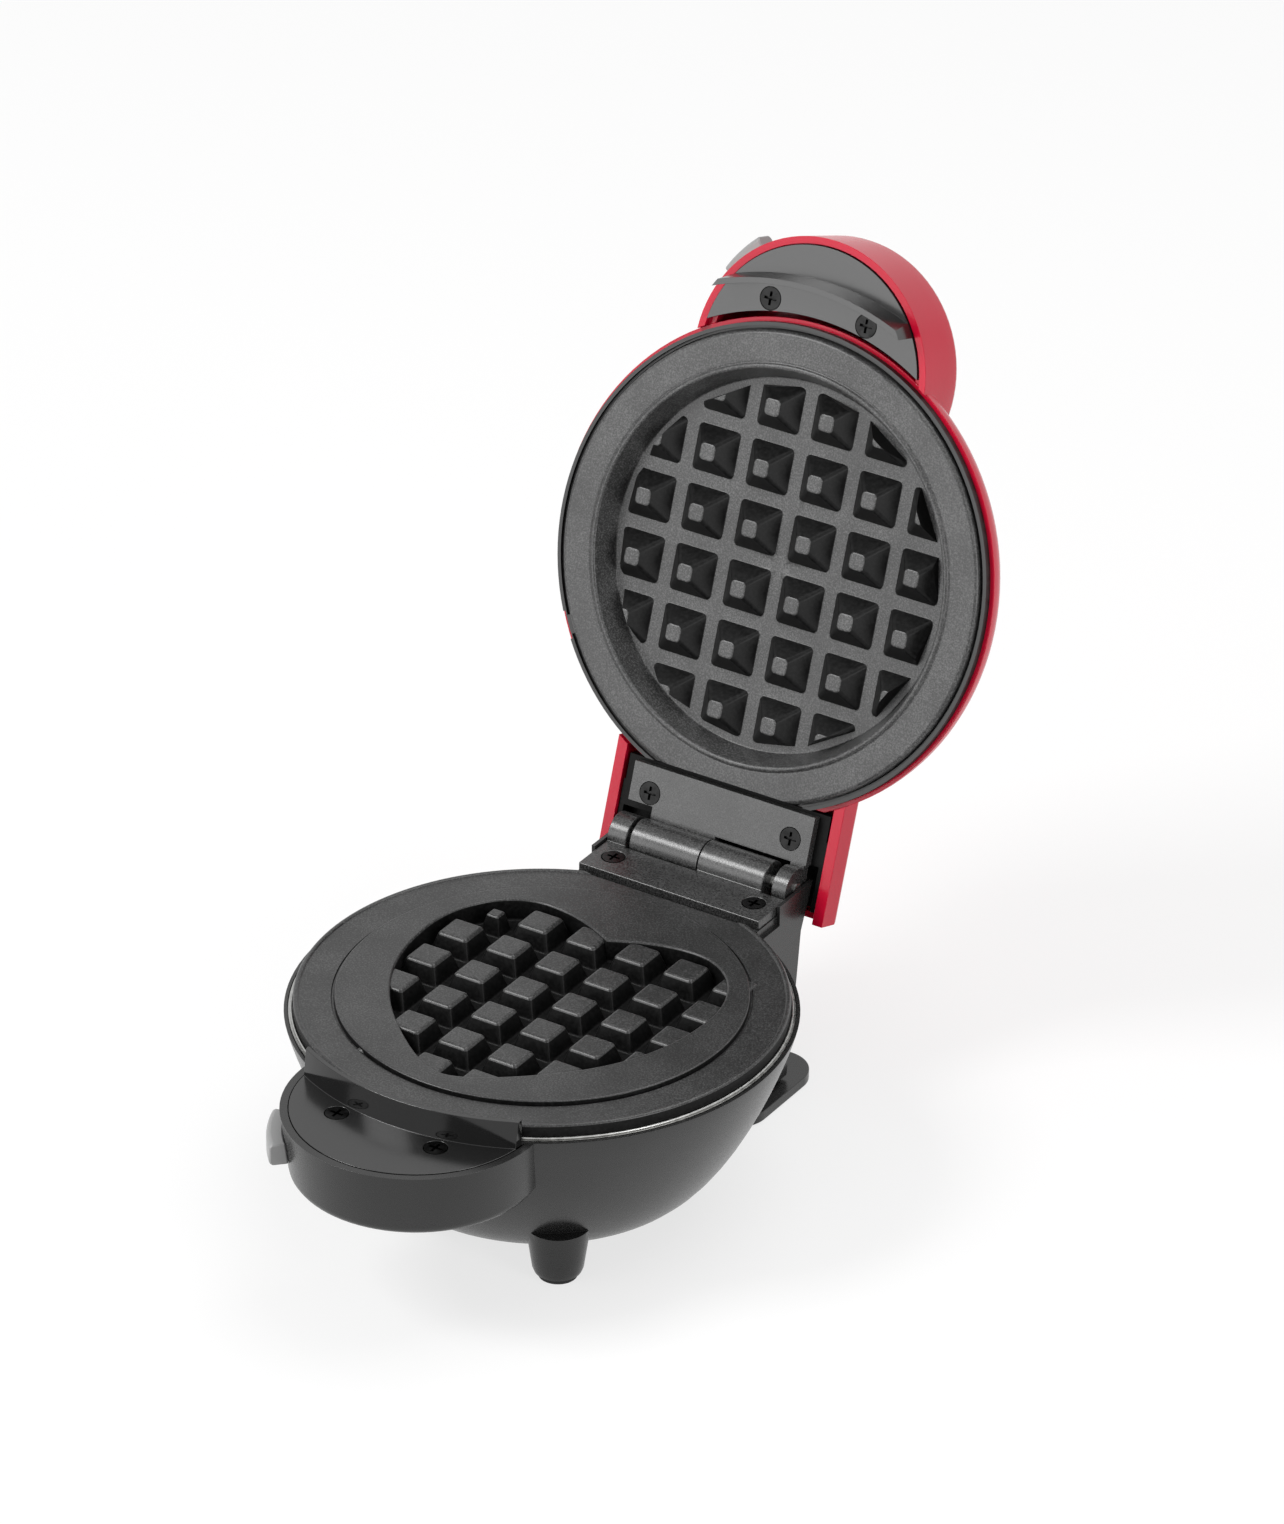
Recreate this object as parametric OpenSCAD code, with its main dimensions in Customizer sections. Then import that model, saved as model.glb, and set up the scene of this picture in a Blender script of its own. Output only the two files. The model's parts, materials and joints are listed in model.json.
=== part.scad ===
// Mini waffle maker: a round clamshell with a heart plate below and a square-grid plate above.
// Millimetres, +Z up, table at z 0. The hinge axis runs along X behind the plates.
// Lower pieces are drawn about the vertical axis of the plates. Lid pieces are drawn face up
// in the lid's own frame, y away from the hinge and z out of its cooking face, then placed
// over the base and swung open by in_lid().

/* [Housing] */
// Radius of both round housings at their rims
rim_r = 64.35; // [63.5:0.05:67]
// Height of the lower rim above the table
rim_z = 51.1; // [49:0.1:55]
// Wall of the lower housing
base_wall = 2.4; // [2:0.1:2.6]
// Distance from the rim in to the flat bottom of the bowl
bowl_flat_inset = 26.35; // [24:0.05:28]
// Height of the bowl's bottom above the table
bowl_z = 5.85; // [5:0.05:7]
// Wall of the lid cover
cover_wall = 1.7; // [1.5:0.05:1.8]
// How far the lid's round rim lies inside the lower one
lid_inset = 0.75; // [0.5:0.05:1]
// How far that rim lies below the rim of the lid's handle
dome_drop = 1.5; // [1.2:0.1:1.8]
// Depth of the lid's dome below its own rim
dome_depth = 15.7; // [15.5:0.1:18]
// Distance from the lid's rim in to the flat top of the dome
dome_flat_inset = 17.6; // [16:0.1:19]

/* [Plates] */
// Gap between the lower plate's edge and the outside of the housing
plate_inset = 2.25; // [2.1:0.05:3]
// Height of the lower plate's top above the housing rim
plate_rise = 4.4; // [4:0.1:6]
// Width of the lower band round the raised middle of the lower plate
plateau_inset = 10.3; // [9:0.1:11]
// Height of that raised middle
plateau_h = 1.0; // [0.6:0.1:1.5]
// Depth of the heart pocket
pocket_depth = 6.0; // [5:0.1:6.5]
// Thickness of the metal under both pockets
web = 2.5; // [2:0.1:3]
// Full width of the heart, as a share of the raised middle's radius
heart_w_share = 1.602; // [1.5:0.002:1.65]
// Height of the heart's lobes above the middle, as such a share
heart_top_share = 0.705; // [0.66:0.005:0.76]
// Height of the notch between the lobes, as such a share
heart_cusp_share = 0.575; // [0.53:0.005:0.61]
// Depth of the heart's tip below the middle, as such a share
heart_tip_share = 0.878; // [0.82:0.002:0.9]
// Pitch of the square pegs in the heart
heart_pitch = 14.48; // [13:0.01:16]
// Width of a heart peg at its foot
heart_peg_base = 11.2; // [10:0.1:12]
// Width of a heart peg at its top
heart_peg_top = 8.3; // [7:0.1:9]
// How far the tops of those pegs lie below the plate's face
heart_peg_drop = 0.6; // [0.3:0.1:1]
// Width of the flat band round the upper pocket
grid_band = 9.75; // [9:0.05:11]
// How much the upper pocket narrows from its rim to its floor, at each side
grid_narrow = 3.2; // [2.5:0.1:4]
// Depth of the upper pocket
grid_depth = 6.3; // [6:0.1:7.5]
// Pitch of the upper plate's pegs
grid_pitch = 15.96; // [14:0.01:17]
// Width of an upper peg at its foot
grid_peg_base = 11.6; // [10:0.1:12.5]
// Width of an upper peg at its top
grid_peg_top = 4.0; // [3:0.1:6]
// Height of an upper peg
grid_peg_h = 4.9; // [4:0.1:5.5]
// Bare floor between the upper pegs and the pocket's wall
grid_margin = 1.1; // [0.7:0.1:3]
// Gap between the two plates when the lid is closed
lid_gap = 2.2; // [2:0.1:4]

/* [Hinge] */
// Distance of the hinge axis behind the housing rim
hinge_back = 12.95; // [12.5:0.05:16]
// Height of the hinge axis above the lower plate's top
hinge_up = 0.2; // [0:0.1:1.5]
// Radius of the hinge barrel
barrel_r = 5.4; // [4.8:0.1:5.6]
// Radius of the hinge pin
pin_r = 1.6; // [1.2:0.1:2]
// Thickness of both hinge leaves
leaf_t = 2.5; // [2:0.1:3]
// Half width of both hinge leaves
leaf_x = 27; // [26:0.1:28]
// Angle at which the open lid rests on its stop
open_deg = 108.76; // [95:0.01:112]

/* [Handles] */
// How far the lower handle stands out from the rim
base_reach = 25.55; // [22:0.05:30]
// Radius of the lower handle at its rim
base_lobe_r = 33.5; // [32.5:0.1:35]
// Height of the lower handle
base_lobe_h = 17.5; // [16:0.1:20]
// How far the lid's handle stands out from the rim
lid_reach = 21.3; // [19:0.05:24]
// Radius of the lid's handle at its rim
lid_lobe_r = 33.65; // [33:0.05:35]
// Thickness of both handle panels
panel_t = 2.4; // [2:0.1:2.8]
// Gap between each panel's guard and the other panel when the lid is closed
guard_clear = 0.35; // [0.3:0.05:1.5]

/* [Feet and column] */
// Half width of the hinge column
column_x = 28.3; // [27.9:0.1:28.6]
// Height of the rear foot plate
rear_foot_h = 3.0; // [2.6:0.1:3.4]
// Half width of the rear foot plate
rear_foot_x = 32; // [30:0.5:36]
// Radius of a front foot at its bottom
foot_r = 6.5; // [6:0.1:8]

/* [Hidden] */
$fn = 96;
eps = 0.01;
// Clearances
fit = 0.05;
gap = 0.3;
over = 1;

// Heights and radii of the lower stack
plate_r = rim_r - plate_inset;
plateau_r = plate_r - plateau_inset;
bowl_flat_r = rim_r - bowl_flat_inset;
heart_w = heart_w_share * plateau_r;
heart_top = heart_top_share * plateau_r;
heart_cusp = heart_cusp_share * plateau_r;
heart_tip = heart_tip_share * plateau_r;
plate_z = rim_z + plate_rise;
flange_z = plate_z - plateau_h;
pocket_z = plate_z - pocket_depth;
web_z = pocket_z - web;
chord_y = rim_r - 7.85;
sheet = 0.7;
shield_z = rim_z + 0.1;
shield_r = rim_r - 1.15;
skirt_t = 1.8;
heart_peg_x = 1.86;
heart_peg_y = 0.73;
boss_r = plateau_r - 2;
pan_r = rim_r - 8.55;
pan_z = web_z - 9.8;

// Heights and radii of the lid's stack, in the lid's frame
lid_z0 = plate_z + lid_gap + grid_depth;
lid_rim = grid_depth - 1.6;
lid_r = rim_r - lid_inset;
dome_flat_r = lid_r - dome_flat_inset;
dome_rim = lid_rim - dome_drop;
ring_r = lid_r - 1.15;
ring_in = ring_r - 0.95;
ring_z = lid_rim + sheet;
ring_notch = 1;
lid_wall_r = lid_r - cover_wall - gap;
grid_r = lid_wall_r - sheet - 0.35;
grid_pocket_r = grid_r - grid_band;
grid_floor_r = grid_pocket_r - grid_narrow;
grid_peg_r = grid_floor_r - grid_margin;
shelf_z = ring_z - 2.5;
lid_chord = chord_y + 0.56;
lid_web_z = -web;
lid_pan_r = lid_r - 9.6;
lid_pan_low_r = dome_flat_r + 4.9;
grid_boss_r = grid_floor_r + 2.2;
dome_z = dome_rim - dome_depth;
lid_pan_z = dome_z + cover_wall + 1.5;

// Hinge
hinge_y = rim_r + hinge_back;
hinge_z = plate_z + hinge_up;
leaf_y = chord_y + 2.1;
knuckle_gap = 0.5;
leaf_edge_y = hinge_y - barrel_r - knuckle_gap;
bore_r = pin_r + fit;
seam = 0.15;
base_lug = [-leaf_x, -21.5];
base_knuckle = [seam, 19.5];
lid_knuckle = [-20.2, -seam];
lid_lug = [22.5, leaf_x - 0.5];
leaf_screw_x = 21.1;
leaf_screw_y = leaf_y + 7.2;

// Handles
base_lobe_y = -(rim_r + base_reach - base_lobe_r);
base_lobe_z = rim_z - base_lobe_h;
lobe_draft = 1.9;
lobe_soft = 2.5;
base_lobe_in = base_lobe_r - 2;
lid_lobe_y = rim_r + lid_reach - lid_lobe_r;
lid_lobe_proud = 2.9;
lid_lobe_z = dome_z - lid_lobe_proud;
lid_lobe_h = lid_rim - lid_lobe_z;
lid_lobe_draft = 1;
lid_lobe_in = lid_lobe_r - 1.9;
panel_gap = 0.25;
base_panel_z = rim_z + 0.15;
lid_panel_z = lid_rim + 0.65;
base_panel_in = rim_r + 0.3;
lid_panel_in = rim_r + 0.85;
ledge_w = 1.9;
ledge_h = 3;
dam_r = rim_r + 2.85;
dam_in = rim_r + 0.7;
dam_draft = 0.9;
fin_r = rim_r + 10.65;
fin_in = rim_r + 8.35;
fin_draft = 0.8;
guard_h = lid_z0 - lid_panel_z - base_panel_z - guard_clear;
base_screw = [14.5, -(rim_r + 5.35)];
lid_screw = [14.1, rim_r + 2.55];

// Heaters
heater_ring_r = 36;
heater_r = 2.6;
heater_half = 150;
rail_w = 1.9;
pin_len = 11;

// Screws
screw_r = 1.5;
head_r = 2.9;
head_h = 1.5;
hole_r = screw_r + fit;
head_gap = 0.2;
post_r = 3.6;
long_screw_r = 1.9;
long_head_r = 3.3;
long_head_h = 2.2;
long_post_r = 5.2;
plate_post_r = 4.2;
plate_post_ring = 22;
recess_z = bowl_z + 14;

// Column and rear foot
column_top = plate_z + 0.7;
column_front = chord_y - 6.5;
column_back = hinge_y + 5.3;
column_z = rear_foot_h + 1;
column_in = column_x - base_wall;
deck_z = plate_z - leaf_t;
trough_r = barrel_r + knuckle_gap;
trough_x = leaf_x + gap;
cavity_top = hinge_z - trough_r - base_wall;
gland_z = 22;
window_z = 21;
gland_y = hinge_y - 1.3;
gland_in = gland_y - 5.6;
gland_r = 5;
gland_bore = 3.3;
gland_flange = 7;
pad_h = 1.4;
foot_lift = 0.4;
rear_foot_front = column_front - 4;
rear_foot_back = hinge_y + 5.7;
rear_foot_corner = 9;
rear_screw = [column_in - 2.9, column_front + 14];
front_foot = [27, -34];

// Lid hinge box
cheek_x = column_x + 5.7;
cheek_t = 3;
box_end = hinge_y + 8.7;
box_front = 40;
box_cut = 2.5;
box_round = 3;
box_lip = 3.6;
liner_x = cheek_x - cheek_t - gap;
liner_t = 1.4;
liner_end = box_end - box_cut - gap;
lid_deck_z = grid_depth - leaf_t;
box_z = lid_rim - 9.1;
lid_leaf_screw = grid_depth - box_z - 2.2;

// Grip tabs, as angles from -X
base_tab = [18, 46];
base_tab_z = [rim_z - 12.2, rim_z - 6.3];
base_tab_out = 3.3;
lid_tab = [28, 48];
lid_tab_z = [lid_rim - 13.2, lid_rim - 6.7];
lid_tab_out = 3.7;
tongue = 3.2;
tab_lip = 1;

// Indicator
lens_r = 3;
lens_y = lid_lobe_y + 21;

// Wiring, round numbers chosen by hand
wire_r = 1.1;
lead_y = column_front + 13;
lid_lead = lid_r - 7.6;

// The open lid reaches back furthest at the soft edge round the end of its handle
lid_back = hinge_y + lobe_soft + sin(open_deg) * (lid_z0 - hinge_z - lid_lobe_z - lobe_soft)
    - cos(open_deg) * (lid_lobe_y + lid_lobe_r - lid_lobe_draft - lobe_soft + hinge_y);
front_reach = rim_r + base_reach;
shift_y = (lid_back - front_reach) / 2;

// Placing

module in_base() {
    translate([0, -shift_y, 0]) children();
}

module in_lid() {
    in_base()
        translate([0, hinge_y, hinge_z]) rotate([-open_deg, 0, 0])
        translate([0, -hinge_y, lid_z0 - hinge_z]) rotate([180, 0, 0]) children();
}

// Shared shapes

module tube(r_out, r_in, h) {
    difference() {
        cylinder(r = r_out, h = h);
        translate([0, 0, -over]) cylinder(r = r_in, h = h + 2 * over);
    }
}

// A bowl's profile from its rim down to a flat bottom, as a formula in the angle a
function bowl_curve(r_rim, r_flat, z_rim, depth, power_r, power_z, steps = 14) =
    [for (i = [0:steps]) let (a = 90 * i / steps)
        [r_flat + (r_rim - r_flat) * pow(cos(a), power_r), z_rim - depth * pow(sin(a), power_z)]];

module bowl_solid(r_rim, r_flat, z_rim, depth, power_r, power_z, above = 0) {
    rotate_extrude() polygon(concat(
        [[0, z_rim + above], [r_rim, z_rim + above]],
        [for (p = bowl_curve(r_rim, r_flat, z_rim, depth, power_r, power_z))
            if (above > 0 || p[1] < z_rim - eps) p],
        [[0, z_rim - depth]]));
}

// A round handle end: a slightly tapered drum with a softened lower edge
module lobe(r_top, draft, h, soft) {
    rotate_extrude() polygon(concat(
        [[0, 0]],
        [for (a = [-90:22.5:0]) [r_top - draft - soft + soft * cos(a), soft + soft * sin(a)]],
        [[r_top, h], [0, h]]));
}

// Square pegs are where two crossing sets of tapered bars meet
module bars(count, pitch, base, top, h, length) {
    for (i = [0:count - 1])
        translate([(i - (count - 1) / 2) * pitch, length / 2, 0]) rotate([90, 0, 0])
            linear_extrude(length)
                polygon([[-base / 2, -over], [base / 2, -over], [base / 2, 0],
                    [top / 2, h], [-top / 2, h], [-base / 2, 0]]);
}

module pegs(columns, rows, pitch, base, top, h, length) {
    intersection() {
        bars(columns, pitch, base, top, h, length);
        rotate(90) bars(rows, pitch, base, top, h, length);
    }
}

module screw(length, shank, head, height) {
    slot = head * 0.25;
    difference() {
        union() {
            translate([0, 0, -height]) cylinder(r = head, h = height);
            translate([0, 0, -length]) cylinder(r = shank, h = length - height / 2);
        }
        for (turn = [0, 90]) rotate(turn)
            translate([-head * 0.62, -slot / 2, -height * 0.6]) cube([head * 1.24, slot, height]);
    }
}

module arc_wall(r_foot, r_in, draft, h, foot) {
    rotate_extrude() polygon([[r_in, -foot], [r_foot, -foot], [r_foot, 0], [r_foot - draft, h], [r_in, h]]);
}

// A wedge about Z between two angles measured from -X toward +Y
module wedge(angles, r, h) {
    linear_extrude(h) polygon(concat([[0, 0]],
        [for (i = [0:6]) let (a = 180 - angles[0] - (angles[1] - angles[0]) * i / 6)
            [r * cos(a), r * sin(a)]]));
}

module wire(points) {
    for (i = [0:len(points) - 2]) {
        step = points[i + 1] - points[i];
        run = norm(step);
        translate(points[i])
            rotate([0, acos(step[2] / run), atan2(step[1], step[0])]) cylinder(r = wire_r, h = run, $fn = 24);
    }
    for (i = [1:len(points) - 2]) translate(points[i]) sphere(r = wire_r * 1.2, $fn = 24);
}

// Heart

function bezier(p, t) =
    p[0] * pow(1 - t, 3) + 3 * p[1] * t * pow(1 - t, 2) + 3 * p[2] * t * t * (1 - t) + p[3] * pow(t, 3);
function curve(p, steps) = [for (i = [0:steps - 1]) bezier(p, i / steps)];
function heart_half(w, top, cusp, tip) = concat(
    curve([[0, cusp], [0.145 * w, cusp + 3.2], [0.313 * w, top], [0.53 * w, top]], 5),
    curve([[0.53 * w, top], [0.795 * w, top], [w, 0.685 * top], [w, 0.329 * top]], 7),
    curve([[w, 0.329 * top], [w, -0.132 * tip], [0.843 * w, -0.418 * tip], [0.566 * w, -0.666 * tip]], 6),
    curve([[0.566 * w, -0.666 * tip], [0.386 * w, -0.824 * tip], [0.145 * w, -tip], [0, -tip]], 5),
    [[0, -tip]]);

module heart_outline() {
    half = heart_half(heart_w / 2, heart_top, heart_cusp, heart_tip);
    last = len(half) - 1;
    polygon(concat(half, [for (i = [last - 1:-1:1]) [-half[i][0], half[i][1]]]));
}

// Lower pieces

module bowl_outer() {
    bowl_solid(rim_r, bowl_flat_r, rim_z, rim_z - bowl_z, 1.29, 1.76);
}

module bowl_inner() {
    bowl_solid(rim_r - base_wall, bowl_flat_r - base_wall * 0.5, rim_z, rim_z - bowl_z - base_wall,
        1.29, 1.76, over);
}

module base_lobe_outer() {
    translate([0, base_lobe_y, base_lobe_z])
        lobe(base_lobe_r, lobe_draft, base_lobe_h, lobe_soft);
}

module base_lobe_inner() {
    translate([0, base_lobe_y, base_lobe_z + 2])
        lobe(base_lobe_in, lobe_draft, base_lobe_h, lobe_soft);
}

// Side view of the column, in y and z
function column_side(front, back, low, top) = [
    [front, low], [back - 11.1, low], [back - 7.3, 29.1], [back - 5.4, 44.1],
    [back, top], [back - 15.9, top], [back - 15.9, rim_z - 0.5], [front, rim_z - 0.5]];

module column_outer() {
    translate([-column_x, 0, 0]) rotate([90, 0, 90]) linear_extrude(2 * column_x)
        polygon(column_side(column_front, column_back, column_z, column_top));
    // Deck that carries the hinge leaf
    translate([-trough_x, leaf_y - 1, rim_z - 2])
        cube([2 * trough_x, leaf_edge_y - leaf_y + 3, deck_z - rim_z + 2]);
}

module column_inner() {
    front = column_front + base_wall;
    back = column_back - base_wall;
    translate([-column_in, 0, 0]) rotate([90, 0, 90]) linear_extrude(2 * column_in)
        polygon([[front, column_z - over], [back - 11.3, column_z - over], [back - 11.1, column_z],
            [back - 7.3, 29.1], [back - 5.6, cavity_top - 4], [back - 5.6, cavity_top], [front, cavity_top]]);
}

module hinge_trough() {
    translate([-trough_x, hinge_y, hinge_z]) rotate([0, 90, 0]) cylinder(r = trough_r, h = 2 * trough_x);
    translate([-trough_x, leaf_edge_y - gap, deck_z])
        cube([2 * trough_x, column_back - leaf_edge_y + 2, column_top - deck_z + over]);
    translate([-trough_x, hinge_y, hinge_z - trough_r - 1.8])
        cube([2 * trough_x, trough_r + over, trough_r + 1.8]);
    translate([-trough_x, column_back - 16.5, deck_z])
        cube([2 * trough_x, 16.5, column_top - deck_z + over]);
}

module front_feet() {
    for (side = [-1, 1]) translate([side * front_foot[0], front_foot[1], pad_h - foot_lift])
        rotate_extrude() polygon([[0, 0], [foot_r - 1.8, 0], [foot_r - 0.5, 0.6], [foot_r, 1.9],
            [foot_r + 1.7, bowl_z + 8], [0, bowl_z + 8]]);
}

function plate_posts() = [for (a = [-90, 30, 150]) [plate_post_ring * cos(a), plate_post_ring * sin(a)]];

module base_shell() {
    color("#4a4a4a") in_base() {
        difference() {
            union() {
                bowl_outer();
                base_lobe_outer();
                column_outer();
                front_feet();
                translate([0, gland_y, gland_z]) rotate([90, 0, 0]) cylinder(r = gland_flange + 1, h = 5);
            }
            bowl_inner();
            difference() {
                union() {
                    base_lobe_inner();
                    translate([0, base_lobe_y, base_panel_z - panel_t])
                        cylinder(r = base_lobe_in, h = panel_t + over);
                }
                bowl_outer();
                cylinder(r = rim_r, h = rim_z + 2 * over);
            }
            difference() {
                column_inner();
                bowl_outer();
                translate([0, gland_y, gland_z]) rotate([90, 0, 0])
                    cylinder(r = gland_flange + 1, h = gland_y - gland_in);
            }
            hinge_trough();
            // Seat of the heat shield's flange
            translate([0, 0, shield_z - sheet]) cylinder(r = shield_r + gap, h = sheet + over);
            // Way for the wires from the bowl into the column
            translate([-16, column_front + base_wall, window_z]) cube([32, 12, 13]);
            translate([0, gland_y + over, gland_z]) rotate([90, 0, 0]) cylinder(r = gland_r + fit, h = 12);
            for (side = [-1, 1]) {
                translate([side * front_foot[0], front_foot[1], -over])
                    cylinder(r = foot_r - 1.4, h = pad_h + over);
                translate([side * leaf_screw_x, leaf_screw_y, cavity_top + 1]) cylinder(r = hole_r, h = 20);
            }
            tab_window(base_tab, base_tab_z, base_lobe_r, base_lobe_y, 1);
            for (p = plate_posts()) translate([p[0], p[1], bowl_z - over])
                cylinder(r = long_head_r + gap, h = base_wall + 2 * over);
        }
        base_ledge();
        base_bosses();
    }
}

module tab_window(angles, z, r_wall, lobe_y, flip) {
    translate([0, lobe_y, z[0] + tab_lip]) mirror([0, flip, 0])
        wedge([angles[0] + 4, angles[1] - 4], r_wall + 2, z[1] - z[0] - 2 * tab_lip);
}

module base_ledge() {
    difference() {
        translate([0, base_lobe_y, base_panel_z - panel_t - ledge_h])
            tube(base_lobe_in + 0.4, base_lobe_in - ledge_w, ledge_h);
        cylinder(r = rim_r - 0.6, h = rim_z + over);
    }
}

module base_bosses() {
    for (side = [-1, 1]) {
        translate([side * base_screw[0], base_screw[1], base_lobe_z + 1]) difference() {
            cylinder(r = post_r, h = base_panel_z - panel_t - base_lobe_z - 1);
            translate([0, 0, 3]) cylinder(r = hole_r, h = base_lobe_h);
        }
        // Bosses for the rear foot's screws
        translate([side * rear_screw[0], rear_screw[1], column_z]) difference() {
            cylinder(r = post_r, h = 10);
            translate([0, 0, -over]) cylinder(r = hole_r, h = 9);
        }
    }
    for (p = plate_posts()) translate([p[0], p[1], bowl_z]) difference() {
        cylinder(r = long_post_r, h = pan_z - bowl_z);
        translate([0, 0, -over]) cylinder(r = long_head_r + gap, h = recess_z - bowl_z + over);
        cylinder(r = long_screw_r + 0.2, h = pan_z - bowl_z + over);
    }
}

module panel_outline(lobe_y, r_out, r_in, h, sign) {
    difference() {
        translate([0, lobe_y, 0]) cylinder(r = r_out, h = h);
        translate([0, 0, -over]) cylinder(r = r_in, h = h + 2 * over);
        translate([-80, sign > 0 ? -80 : 0, -over]) cube([160, 80, h + 2 * over]);
    }
}

module guarded_panel(lobe_y, r_out, r_in, top, wall_r, wall_in, draft, h, screws, sign) {
    difference() {
        union() {
            translate([0, 0, top - panel_t]) panel_outline(lobe_y, r_out, r_in, panel_t, sign);
            intersection() {
                translate([0, 0, top]) arc_wall(wall_r, wall_in, draft, h, panel_t / 2);
                translate([0, 0, top - panel_t]) panel_outline(lobe_y, r_out, r_in, h + panel_t, sign);
            }
        }
        for (side = [-1, 1]) translate([side * screws[0], screws[1], top]) {
            translate([0, 0, -head_h]) cylinder(r = head_r + head_gap, h = h + head_h + over);
            translate([0, 0, -panel_t - over]) cylinder(r = hole_r, h = panel_t + over);
        }
    }
}

module base_handle_panel() {
    color("#6b6b6b") in_base()
        guarded_panel(base_lobe_y, base_lobe_in - panel_gap, base_panel_in, base_panel_z,
            dam_r, dam_in, dam_draft, guard_h, base_screw, -1);
}

module heater_rail(bottom) {
    translate([0, 0, bottom - heater_r])
        tube(heater_ring_r + heater_r + rail_w, heater_ring_r - heater_r - rail_w, heater_r + over);
}

// The groove that the heater lies in, and the gap in the rail where its pins come out
module heater_groove(bottom) {
    translate([0, 0, bottom - heater_r]) rotate_extrude()
        translate([heater_ring_r, 0]) circle(r = heater_r + 0.1);
    translate([-heater_ring_r * 0.54, heater_ring_r * 0.78, bottom - heater_r - over])
        cube([heater_ring_r * 1.08, heater_ring_r * 0.4, heater_r + over]);
}

// A flat round plate with a skirt, its top edge softened
module plate_body(r, top, bottom, skirt_in) {
    soft = 1.2;
    rotate_extrude() polygon(concat(
        [[0, top - 2], [skirt_in, top - 2], [skirt_in, bottom], [r, bottom]],
        [for (a = [0:22.5:90]) [r - soft + soft * cos(a), top - soft + soft * sin(a)]],
        [[0, top]]));
}

module beyond(y, sign) {
    translate([-80, sign > 0 ? y : -y - 60, -80]) cube([160, 60, 200]);
}

module heart_plate() {
    color("#4c4c4c") in_base() difference() {
        union() {
            plate_body(plate_r, flange_z, shield_z, plate_r - skirt_t);
            translate([0, 0, web_z]) cylinder(r = boss_r, h = flange_z - web_z - over);
            translate([0, 0, flange_z - over]) cylinder(r = plateau_r, h = plateau_h + over);
            heater_rail(web_z);
            for (p = plate_posts()) translate([p[0], p[1], pan_z + sheet])
                cylinder(r = plate_post_r, h = web_z - pan_z - sheet + over);
        }
        difference() {
            translate([0, 0, pocket_z]) linear_extrude(pocket_depth + over) heart_outline();
            translate([heart_peg_x, heart_peg_y - heart_pitch / 2, pocket_z])
                pegs(8, 8, heart_pitch, heart_peg_base, heart_peg_top, pocket_depth - heart_peg_drop, 160);
        }
        heater_groove(web_z);
        for (p = plate_posts()) translate([p[0], p[1], pan_z])
            cylinder(r = long_screw_r + fit, h = web_z - pan_z);
        beyond(chord_y, 1);
        // Locating notch in the edge
        rotate(156.5) translate([plate_r - 1.2, -2.8, shield_z - over]) cube([4, 5.6, 10]);
    }
}

module heater(bottom) {
    translate([0, 0, bottom - heater_r]) {
        rotate(-90 - heater_half) rotate_extrude(angle = 2 * heater_half)
            translate([heater_ring_r, 0]) circle(r = heater_r);
        for (side = [-1, 1]) rotate(-90 + side * heater_half)
            translate([heater_ring_r, 0, 0]) rotate([-side * 90, 0, 0])
                translate([0, 0, -over]) cylinder(r = 1.4, h = pin_len + over);
    }
}

module base_heater() {
    color("#8a8a88") in_base() heater(web_z);
}

module base_heat_shield() {
    color("#b5b5b2") in_base() difference() {
        union() {
            translate([0, 0, shield_z - sheet]) cylinder(r = shield_r, h = sheet);
            translate([0, 0, pan_z]) cylinder(r = pan_r, h = shield_z - pan_z);
        }
        translate([0, 0, pan_z + sheet]) cylinder(r = pan_r - sheet, h = 40);
        for (p = plate_posts()) translate([p[0], p[1], pan_z - over])
            cylinder(r = long_screw_r + 0.2, h = 4);
        translate([-16, 33, pan_z - over]) cube([32, 12, 4]);
        beyond(chord_y + 0.6, 1);
    }
}

module thermostat() {
    color("#c9c9c4") in_base() translate([0, 0, web_z]) {
        translate([0, 0, -5]) cylinder(r = 8, h = 5);
        translate([0, 0, -6.2]) cylinder(r = 5.4, h = 2);
        for (side = [-1, 1]) translate([side * 7 - 1.5, -2, -7]) cube([3, 4, 3]);
    }
}

module thermal_fuse() {
    color("#d8d4c8") in_base() translate([-6, -14.5, web_z - 4.4]) difference() {
        cube([12, 4.8, 4.4]);
        translate([-over, 2.4, 2.2]) rotate([0, 90, 0]) cylinder(r = 1.85, h = 20);
    }
    color("#b9a66a") in_base() translate([-9, -12.1, web_z - 2.2]) rotate([0, 90, 0]) {
        cylinder(r = 1.8, h = 18);
        translate([0, 0, -5]) cylinder(r = 0.6, h = 28);
    }
}

module terminal_block() {
    color("#e8e4da") in_base() translate([-12, 19, bowl_z + base_wall]) difference() {
        cube([24, 10, 9]);
        for (i = [0:2]) translate([4 + i * 8, -over, 5]) rotate([-90, 0, 0]) cylinder(r = 1.6, h = 20);
        for (i = [0:2]) translate([4 + i * 8, 5, 6]) cylinder(r = 1.2, h = 20);
    }
}

module cord_bushing() {
    color("#262626") in_base() translate([0, gland_in, gland_z]) rotate([-90, 0, 0]) difference() {
        union() {
            translate([0, 0, -1.6]) cylinder(r = gland_r + 1.2, h = 1.6);
            translate([0, 0, -over]) cylinder(r = gland_r, h = gland_y - gland_in + 2 * over);
            translate([0, 0, gland_y - gland_in]) cylinder(r = gland_flange, h = 2);
        }
        translate([0, 0, -5]) cylinder(r = gland_bore, h = 20);
    }
}

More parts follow.
